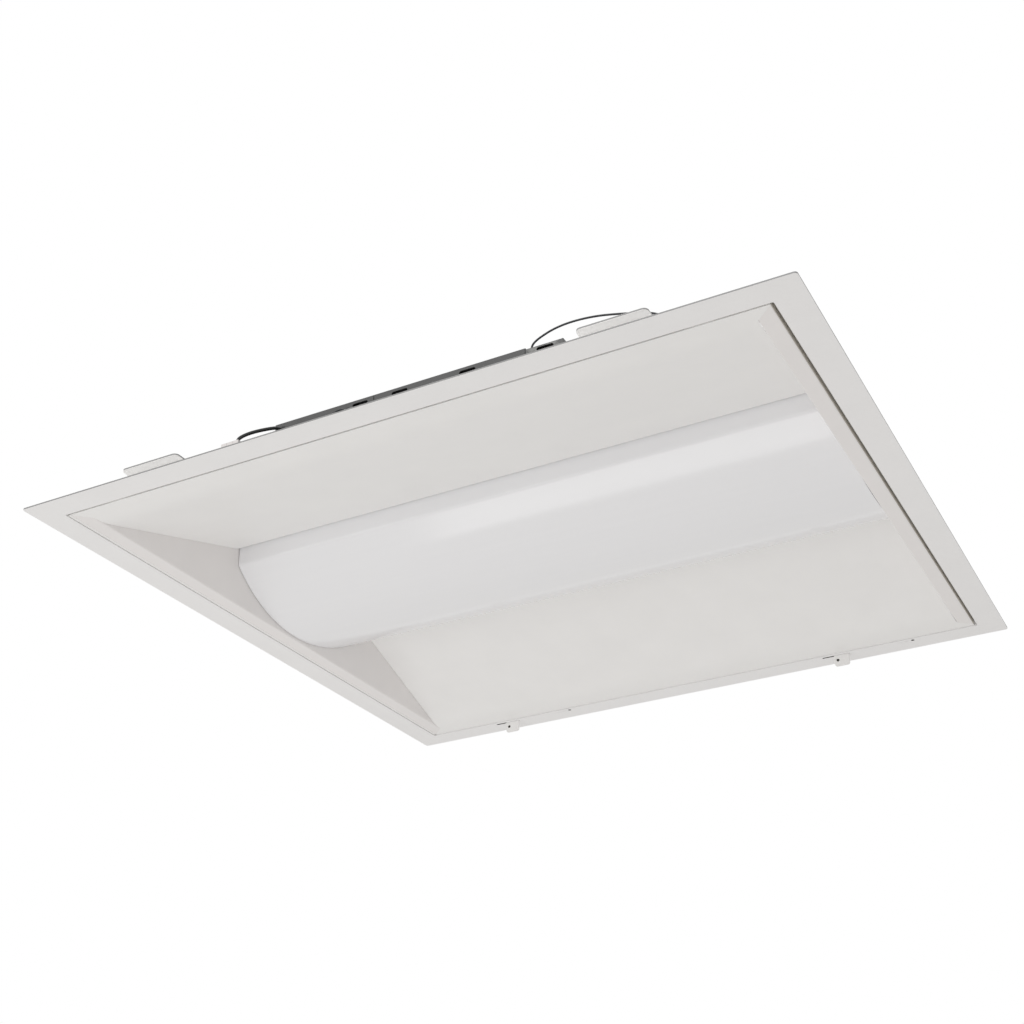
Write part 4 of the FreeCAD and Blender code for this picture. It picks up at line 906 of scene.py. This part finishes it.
class TROFFER_OT_light_engine(TrofferOperator, bpy.types.Operator):
    """Dress the tray and boards, and make the LED packages and board screws"""

    bl_idname = "troffer.light_engine"
    bl_label = "Light engine"
    dressed = (("door", "edge", "led_tray"),
               ("board", "fine_edge", "led_board_1", "led_board_2", "led_board_3"))

    def make(self, scene):
        details = scene.troffer_details
        self.packages(details)
        low, high = box_of("board_screws")
        columns, rows = middles("board_screws", 0), middles("board_screws", 1)
        radius, height = high[0] - columns[-1], high[2] - low[2]
        heads = [small_head((x, y, high[2]), radius, height, -1, details.recess)
                 for x in columns for y in rows]
        put("board_screw_heads", *joined(heads), "zinc", "fixture", "board_screws")

    def packages(self, details):
        """The LED packages, each a small box with a sunk window of phosphor in its lower face."""
        low, high = box_of("led_chips")
        columns, rows = middles("led_chips", 0, 8), middles("led_chips", 1, 8)
        size = np.array([2 * (high[0] - columns[-1]), 2 * (high[1] - rows[-1]), high[2] - low[2]])
        middle = np.stack(np.meshgrid(columns, rows, [(low[2] + high[2]) / 2]), -1).reshape(-1, 3)
        window = details.led_window / 2
        chamfer = 0.1 * MM
        rings = np.array([
            [size[0] / 2, size[1] / 2, size[2] / 2], [size[0] / 2, size[1] / 2, -size[2] * 0.42],
            [size[0] / 2 - chamfer, size[1] / 2 - chamfer, -size[2] / 2],
            [window, window, -size[2] / 2], [window * 0.92, window * 0.92, -size[2] * 0.2]])
        signs = np.array([[-1, -1, 1], [1, -1, 1], [1, 1, 1], [-1, 1, 1]])
        body = (rings[:, None, :] * signs[None]).reshape(-1, 3)
        walls = ring_faces(5, 4).tolist() + [[3, 2, 1, 0]]
        floor = (np.array([[window, window, -size[2] * 0.22]]) * signs)
        shells, gels = [], []
        for spot in middle:
            shells.append((body + spot, walls))
            gels.append((floor + spot, [[0, 3, 2, 1]]))
        put("led_packages", *joined(shells), "package", "fixture", "led_chips")
        put("led_windows", *joined(gels), "phosphor", "fixture")


class TROFFER_OT_driver_box(TrofferOperator, bpy.types.Operator):
    """Dress the driver box, the driver and the terminal block, and make the cover screws"""

    bl_idname = "troffer.driver_box"
    bl_label = "Driver box"
    dressed = (("galvanised", "fine_edge", "driver_box_base"),
               ("box", "edge", "driver_box_cover_left", "driver_box_cover_right"),
               ("box_end", "edge", "driver_box_end_cover"),
               ("driver", "case_edge", "led_driver"),
               ("terminal", "fine_edge", "terminal_block"))

    def make(self, scene):
        details = scene.troffer_details
        heads = []
        low, high = box_of("pan_screws")
        columns = middles("pan_screws", 0)
        near, far = middles("pan_screws", 1)
        rise = details.head
        for x, y, z in zip(columns, (far, far, near), (high[2] - rise, high[2] - rise, low[2])):
            heads.append(small_head((x, y, z), high[0] - columns[-1], rise, 1, details.recess))
        put("pan_screw_heads", *joined(heads), "zinc", "fixture", "pan_screws")


class TROFFER_OT_supply(TrofferOperator, bpy.types.Operator):
    """Dress the supply connector, its bracket, the earth terminal and the sleeves round the leads"""

    bl_idname = "troffer.supply"
    bl_label = "Supply parts"
    dressed = (("galvanised", "fine_edge", "inlet_bracket", "earth_bracket"),
               ("connector", "fine_edge", "inlet_connector"),
               ("zinc", "screw_edge", "earth_terminal"),
               ("rubber", "fine_edge", "box_grommets"))


class TROFFER_OT_leads(TrofferOperator, bpy.types.Operator):
    """Make the supply cable, the earth lead and the lamp lead as smooth curves"""

    bl_idname = "troffer.leads"
    bl_label = "Leads"

    def make(self, scene):
        details = scene.troffer_details
        mains = [(-0.137, -0.288, 0.0201), (-0.137, -0.288, 0.0255), (-0.136, -0.2845, 0.0308),
                 (-0.1315, -0.2765, 0.0378), (-0.1225, -0.2665, 0.0438), (-0.1185, -0.2595, 0.047),
                 (-0.1185, -0.251, 0.047)]
        earth = [(0.0975, -0.247, 0.050), (0.0975, -0.2485, 0.057), (0.1035, -0.251, 0.0612),
                 (0.124, -0.2535, 0.0657), (0.150, -0.254, 0.0645), (0.176, -0.255, 0.0575),
                 (0.202, -0.259, 0.047), (0.217, -0.263, 0.031), (0.226, -0.267, 0.0185),
                 (0.228, -0.275, 0.0142), (0.228, -0.285, 0.0142)]
        lamp = [(-0.058, -0.251, 0.0465), (-0.0585, -0.2595, 0.046), (-0.0625, -0.2645, 0.0425),
                (-0.0705, -0.266, 0.0385), (-0.0775, -0.267, 0.033), (-0.080, -0.267, 0.026),
                (-0.080, -0.267, 0.019)]
        self.lead("supply_cable", mains, details.cable, "cable", "mains_cable")
        self.lead("earth_wire", earth, details.wire, "wire", "earth_lead")
        self.lead("lamp_wire", lamp, details.wire, "wire", "led_lead")

    def lead(self, name, route, diameter, finish, node):
        """A round lead on a smooth spline whose control points are the route."""
        curve = bpy.data.curves.new(name, "CURVE")
        curve.dimensions = "3D"
        curve.bevel_depth = diameter / 2
        curve.bevel_resolution = 5
        curve.resolution_u = 12
        curve.use_fill_caps = True
        spline = curve.splines.new("NURBS")
        spline.points.add(len(route) - 1)
        for point, spot in zip(spline.points, route):
            point.co = (*spot, 1.0)
        spline.order_u = 3
        spline.use_endpoint_u = True
        place_piece(name, curve, finish, "fixture", node)


def clamp_screw_mesh(low, high, details):
    """A slotted screw standing head down: its radius follows the thread as it rises.

    Over the shank the radius is the outer radius less the depth times a triangle wave of height over pitch
    less the turn, so the crest climbs one pitch a turn. Near the point the shank tapers. The head is a low
    cone with a flat slotted face and a fine edge."""
    sides = details.thread_sides
    angles = np.linspace(0, 2 * math.pi, sides, endpoint=False)
    centre = (low + high) / 2
    head_radius = (high - low)[0] / 2
    shank_radius, head_height = 2.0 * MM, 2.6 * MM
    slot_half, slot_depth = 0.5 * MM, 1.0 * MM
    point, taper = 1.5 * MM, 0.4 * MM
    edge = 0.1 * MM
    start = low[2] + head_height
    rows = int((high[2] - start) / details.thread_pitch * 5)
    z = np.linspace(start, high[2], rows)
    phase = z[:, None] / details.thread_pitch - angles / (2 * math.pi)
    wave = abs(2 * (phase - np.floor(phase)) - 1)
    fade = np.clip((high[2] - z) / point, 0, 1)[:, None]
    radius = shank_radius - details.thread_depth * (1 - wave) - taper * (1 - fade)
    shank = np.stack([radius * np.cos(angles), radius * np.sin(angles), np.repeat(z[:, None], sides, 1)], -1)
    tip = np.zeros((1, sides, 3))
    tip[..., 2] = high[2]
    share = np.linspace(0, 1, 9)[:, None]
    face = np.stack([share * 0.68 * head_radius * np.cos(angles), share * 0.68 * head_radius * np.sin(angles),
                     np.full((9, sides), low[2])], -1)
    face[..., 2] += np.where(abs(face[..., 1]) < slot_half, slot_depth, 0)
    rims = [(0.85 * head_radius, low[2] + 0.35 * MM), (head_radius, low[2] + 1.2 * MM),
            (head_radius, start - edge), (head_radius - edge, start), (shank_radius, start)]
    head = np.stack([np.stack([r * np.cos(angles), r * np.sin(angles), np.full(sides, h)], -1)
                     for r, h in rims])
    points = np.concatenate([face, head, shank, tip])
    points[..., 0] += centre[0]
    points[..., 1] += centre[1]
    return points.reshape(-1, 3), ring_faces(len(points), sides)


class TROFFER_OT_clamps(TrofferOperator, bpy.types.Operator):
    """Dress the swing clamps and cut the thread of their screws"""

    bl_idname = "troffer.clamps"
    bl_label = "Swing clamps"

    def make(self, scene):
        details = scene.troffer_details
        for i in (1, 2, 3, 4):
            softened("clamp_bracket_%d" % i, "zinc", details.fine_edge)
            softened("clamp_nut_%d" % i, "zinc", details.fine_edge)
            softened("clamp_wing_%d" % i, "wing", details.edge)
            node = "clamp_screw_%d" % i
            points, faces = clamp_screw_mesh(*box_of(node), details)
            put(node + "_thread", points, faces, "zinc", "clamp_%d_screw" % i, node)


class TROFFER_OT_hinges(TrofferOperator, bpy.types.Operator):
    """Dress the hinge arms and pins"""

    bl_idname = "troffer.hinges"
    bl_label = "Hinges"
    dressed = (("door", "fine_edge", "hinge_arm_left", "hinge_arm_right"),
               ("zinc", "fine_edge", "hinge_pins"))


def slot_liner(centre, half_length, half_width, height, wall):
    """Rectangular ring that lines a slot: four corners for each of its outer and inner rims, low and high.
    Its dark finish is painted shade in the slot.
    """
    signs = np.array([[-1, -1], [1, -1], [1, 1], [-1, 1]])
    outer = signs * [half_length, half_width]
    inner = signs * [half_length - wall, half_width - wall]
    rims = [(outer, 0), (outer, height), (inner, height), (inner, 0), (outer, 0)]
    points = np.concatenate([np.column_stack([rim, np.full(4, z)]) for rim, z in rims])
    return points + np.asarray(centre), ring_faces(5, 4)


def hole_liner(centre, base, details):
    """Ring that lines a screw hole: a thin wall up from the base, with a low cone on the flange round it. Its
    dark finish is painted shade in the hole.
    """
    r, wall, top = details.hole, details.liner, details.flange + details.liner_rise
    foot, low, high = r + 1.2 * MM, 0.4 * MM, 0.6 * MM
    neck, rim = r + 0.4 * MM, r + 0.2 * MM
    ring = [(r - wall, base), (r, base), (r, 0), (foot, 0), (foot, low), (neck, high), (rim, top),
            (r - wall, top), (r - wall, base)]
    return turned(ring, 32, centre)


def tab_pin():
    """Points in millimetres and faces of a short pin with sloping ends, turned about Y. Dark, it is painted
    shade in a finger tab's hole.
    """
    profile = [(0, -0.7), (0.9, -0.7), (1.35, -0.4), (1.35, 0.4), (0.9, 0.7), (0, 0.7)]
    return turned(profile, 24, (0, 0, 0), "Y")


class TROFFER_OT_latches(TrofferOperator, bpy.types.Operator):
    """Dress the slide latches and their studs, and make dark liners in the slots and screw holes and dark
    pins in the tab holes, as painted shade
    """

    bl_idname = "troffer.latches"
    bl_label = "Slide latches"
    dressed = (("door", "fine_edge", "latch_slider_1", "latch_slider_2"),
               ("zinc", "fine_edge", "latch_studs"))

    def make(self, scene):
        details = scene.troffer_details
        half_sheet, sunk = 0.75 * MM, 0.05 * MM
        line_y = box_of("latch_slider_1")[1][1] - half_sheet
        base = box_of("trim_frame")[0][2] + sunk
        liners = []
        for i, node in enumerate(("latch_slider_1", "latch_slider_2")):
            low, high = box_of(node)
            middle = ((low + high)[0] / 2, line_y, base)
            liners.append(slot_liner(middle, details.slot_half, details.slot_width, details.slot_width,
                                     details.liner))
            pin, faces = tab_pin()
            place = np.array([high[0] - details.tab_inset, line_y, details.tab_hole_z])
            put("tab_pin_%d" % (i + 1), pin * MM + place, faces, "liner", "latch_%d" % (i + 1))
        for x in (details.hole_left, details.hole_right):
            liners.append(hole_liner((x, line_y, 0), base, details))
        put("flange_liners", *joined(liners), "liner", "fixture")



def seen_rays(tree):
    """One for rays of the camera, of reflections and of clear transmission, and nought for all others."""
    rays = tree.nodes.new("ShaderNodeLightPath")
    seen = add_node(tree, "ShaderNodeMath", {"operation": "MAXIMUM"},
                    {0: (rays, "Is Camera Ray"), 1: (rays, "Is Glossy Ray")})
    return add_node(tree, "ShaderNodeMath", {"operation": "MAXIMUM"},
                    {0: (seen, 0), 1: (rays, "Is Transmission Ray")})


class TROFFER_OT_stage(TrofferOperator, bpy.types.Operator):
    """Set up the camera, the soft lights and the pale floor"""

    bl_idname = "troffer.stage"
    bl_label = "Stage"

    def make(self, scene):
        stage = scene.troffer_stage
        self.camera(stage)
        self.floor(stage)
        self.world(stage)
        self.lamp("soft light below", (-0.23, -0.06, -1.25), (-0.23, -0.06, 0), (0.96, 0.4), stage.below)
        self.lamp("soft light left", (-1.0, -1.4, -0.5), (0, 0, 0), (1.0, 1.0), stage.left)
        self.lamp("soft light front", (0.3, -1.7, -0.55), (0, 0, 0), (1.2, 0.6), stage.front)
        self.lamp("soft light top", (0.2, -1.55, 0.4), (0, 0, 0), (1.4, 0.9), stage.top)
        scene.view_settings.view_transform = "Standard"

    def camera(self, stage):
        data = bpy.data.cameras.new("camera")
        data.lens = stage.lens
        data.sensor_width = 36.0
        data.clip_start, data.clip_end = 0.05, 60.0
        camera = add_object("camera", data)
        # The camera's own axes, solved from the photo's perspective
        right = (0.88816, 0.45902, -0.02174)
        down = (-0.23399, 0.41102, -0.88109)
        ahead = (-0.39550, 0.78763, 0.47245)
        columns = [right, [-v for v in down], [-v for v in ahead], stage.camera]
        matrix = Matrix([[column[row] for column in columns] for row in range(3)] + [[0, 0, 0, 1]])
        camera.matrix_world = matrix
        bpy.context.scene.camera = camera

    def floor(self, stage):
        """A wide flat square far below the light, as a grid of one cell."""
        half = 20.0
        mesh = bpy.data.meshes.new("floor")
        corners = [(-half, -half), (half, -half), (half, half), (-half, half)]
        mesh.from_pydata([(x, y, stage.floor_z) for x, y in corners], [], [(0, 1, 2, 3)])
        floor = add_object("floor", mesh)
        material, tree, place, out = new_material("pale_floor")
        matt = add_node(tree, "ShaderNodeBsdfDiffuse", {}, {"Color": linear("#F2F2F2")})
        glow = add_node(tree, "ShaderNodeEmission", {}, {"Color": linear("#FFFFFF"), "Strength": 0.3})
        both = add_node(tree, "ShaderNodeAddShader", {}, {0: (matt, 0), 1: (glow, 0)})
        seen = seen_rays(tree)
        mix = add_node(tree, "ShaderNodeMixShader", {}, {0: (seen, 0), 1: (matt, 0), 2: (both, 0)})
        tree.links.new(mix.outputs[0], out.inputs[0])
        mesh.materials.append(material)

    def world(self, stage):
        """Even grey light, seen as white by the camera and in reflections."""
        world = bpy.data.worlds.new("studio")
        world.use_nodes = True
        tree = world.node_tree
        tree.nodes.clear()
        even = add_node(tree, "ShaderNodeBackground", {}, {"Color": linear("#FEFCF9"), "Strength": stage.sky})
        white = add_node(tree, "ShaderNodeBackground", {}, {"Color": linear("#FFFFFF"), "Strength": 1.0})
        seen = seen_rays(tree)
        mix = add_node(tree, "ShaderNodeMixShader", {}, {0: (seen, 0), 1: (even, 0), 2: (white, 0)})
        out = tree.nodes.new("ShaderNodeOutputWorld")
        tree.links.new(mix.outputs[0], out.inputs[0])
        bpy.context.scene.world = world

    def lamp(self, name, spot, target, size, power):
        """A rectangular soft light aimed at a point."""
        data = bpy.data.lights.new(name, "AREA")
        data.shape = "RECTANGLE"
        data.size, data.size_y = size
        data.energy = power
        lamp = add_object(name, data)
        lamp.location = spot
        lamp.rotation_mode = "QUATERNION"
        lamp.rotation_quaternion = (Vector(target) - lamp.location).to_track_quat("-Z", "Y")
        lamp.visible_camera = False


class TROFFER_PT_panel(bpy.types.Panel):
    """Sidebar panel with the sizes, colours and operators of the light"""

    bl_idname = "TROFFER_PT_panel"
    bl_label = "Troffer light"
    bl_space_type = "VIEW_3D"
    bl_region_type = "UI"
    bl_category = "Troffer"

    def draw(self, context):
        for operator in OPERATORS:
            self.layout.operator(operator.bl_idname)
        for name in PROPERTIES:
            group = getattr(context.scene, name)
            self.layout.label(text=type(group).__name__)
            for key in group.bl_rna.properties.keys():
                if key not in ("rna_type", "name"):
                    self.layout.prop(group, key)


OPERATORS = (TROFFER_OT_finishes, TROFFER_OT_stage, TROFFER_OT_trim_frame, TROFFER_OT_reflectors,
             TROFFER_OT_end_panels, TROFFER_OT_door_seal, TROFFER_OT_diffuser,
             TROFFER_OT_door_fittings, TROFFER_OT_housing, TROFFER_OT_light_engine,
             TROFFER_OT_driver_box, TROFFER_OT_supply, TROFFER_OT_leads, TROFFER_OT_clamps,
             TROFFER_OT_hinges, TROFFER_OT_latches)
PROPERTIES = {"troffer_door": TrofferDoorSizes, "troffer_diffuser": TrofferDiffuserSizes,
              "troffer_details": TrofferDetailSizes, "troffer_colours": TrofferColours,
              "troffer_stage": TrofferStage}


def register():
    for group in PROPERTIES.values():
        bpy.utils.register_class(group)
    for operator in OPERATORS:
        bpy.utils.register_class(operator)
    bpy.utils.register_class(TROFFER_PT_panel)
    for name, group in PROPERTIES.items():
        setattr(bpy.types.Scene, name, PointerProperty(type=group))


def unregister():
    for name in PROPERTIES:
        delattr(bpy.types.Scene, name)
    bpy.utils.unregister_class(TROFFER_PT_panel)
    for operator in reversed(OPERATORS):
        bpy.utils.unregister_class(operator)
    for group in reversed(list(PROPERTIES.values())):
        bpy.utils.unregister_class(group)


def main():
    register()
    for operator in OPERATORS:
        group, name = operator.bl_idname.split(".")
        getattr(getattr(bpy.ops, group), name)()


if __name__ == "__main__":
    main()
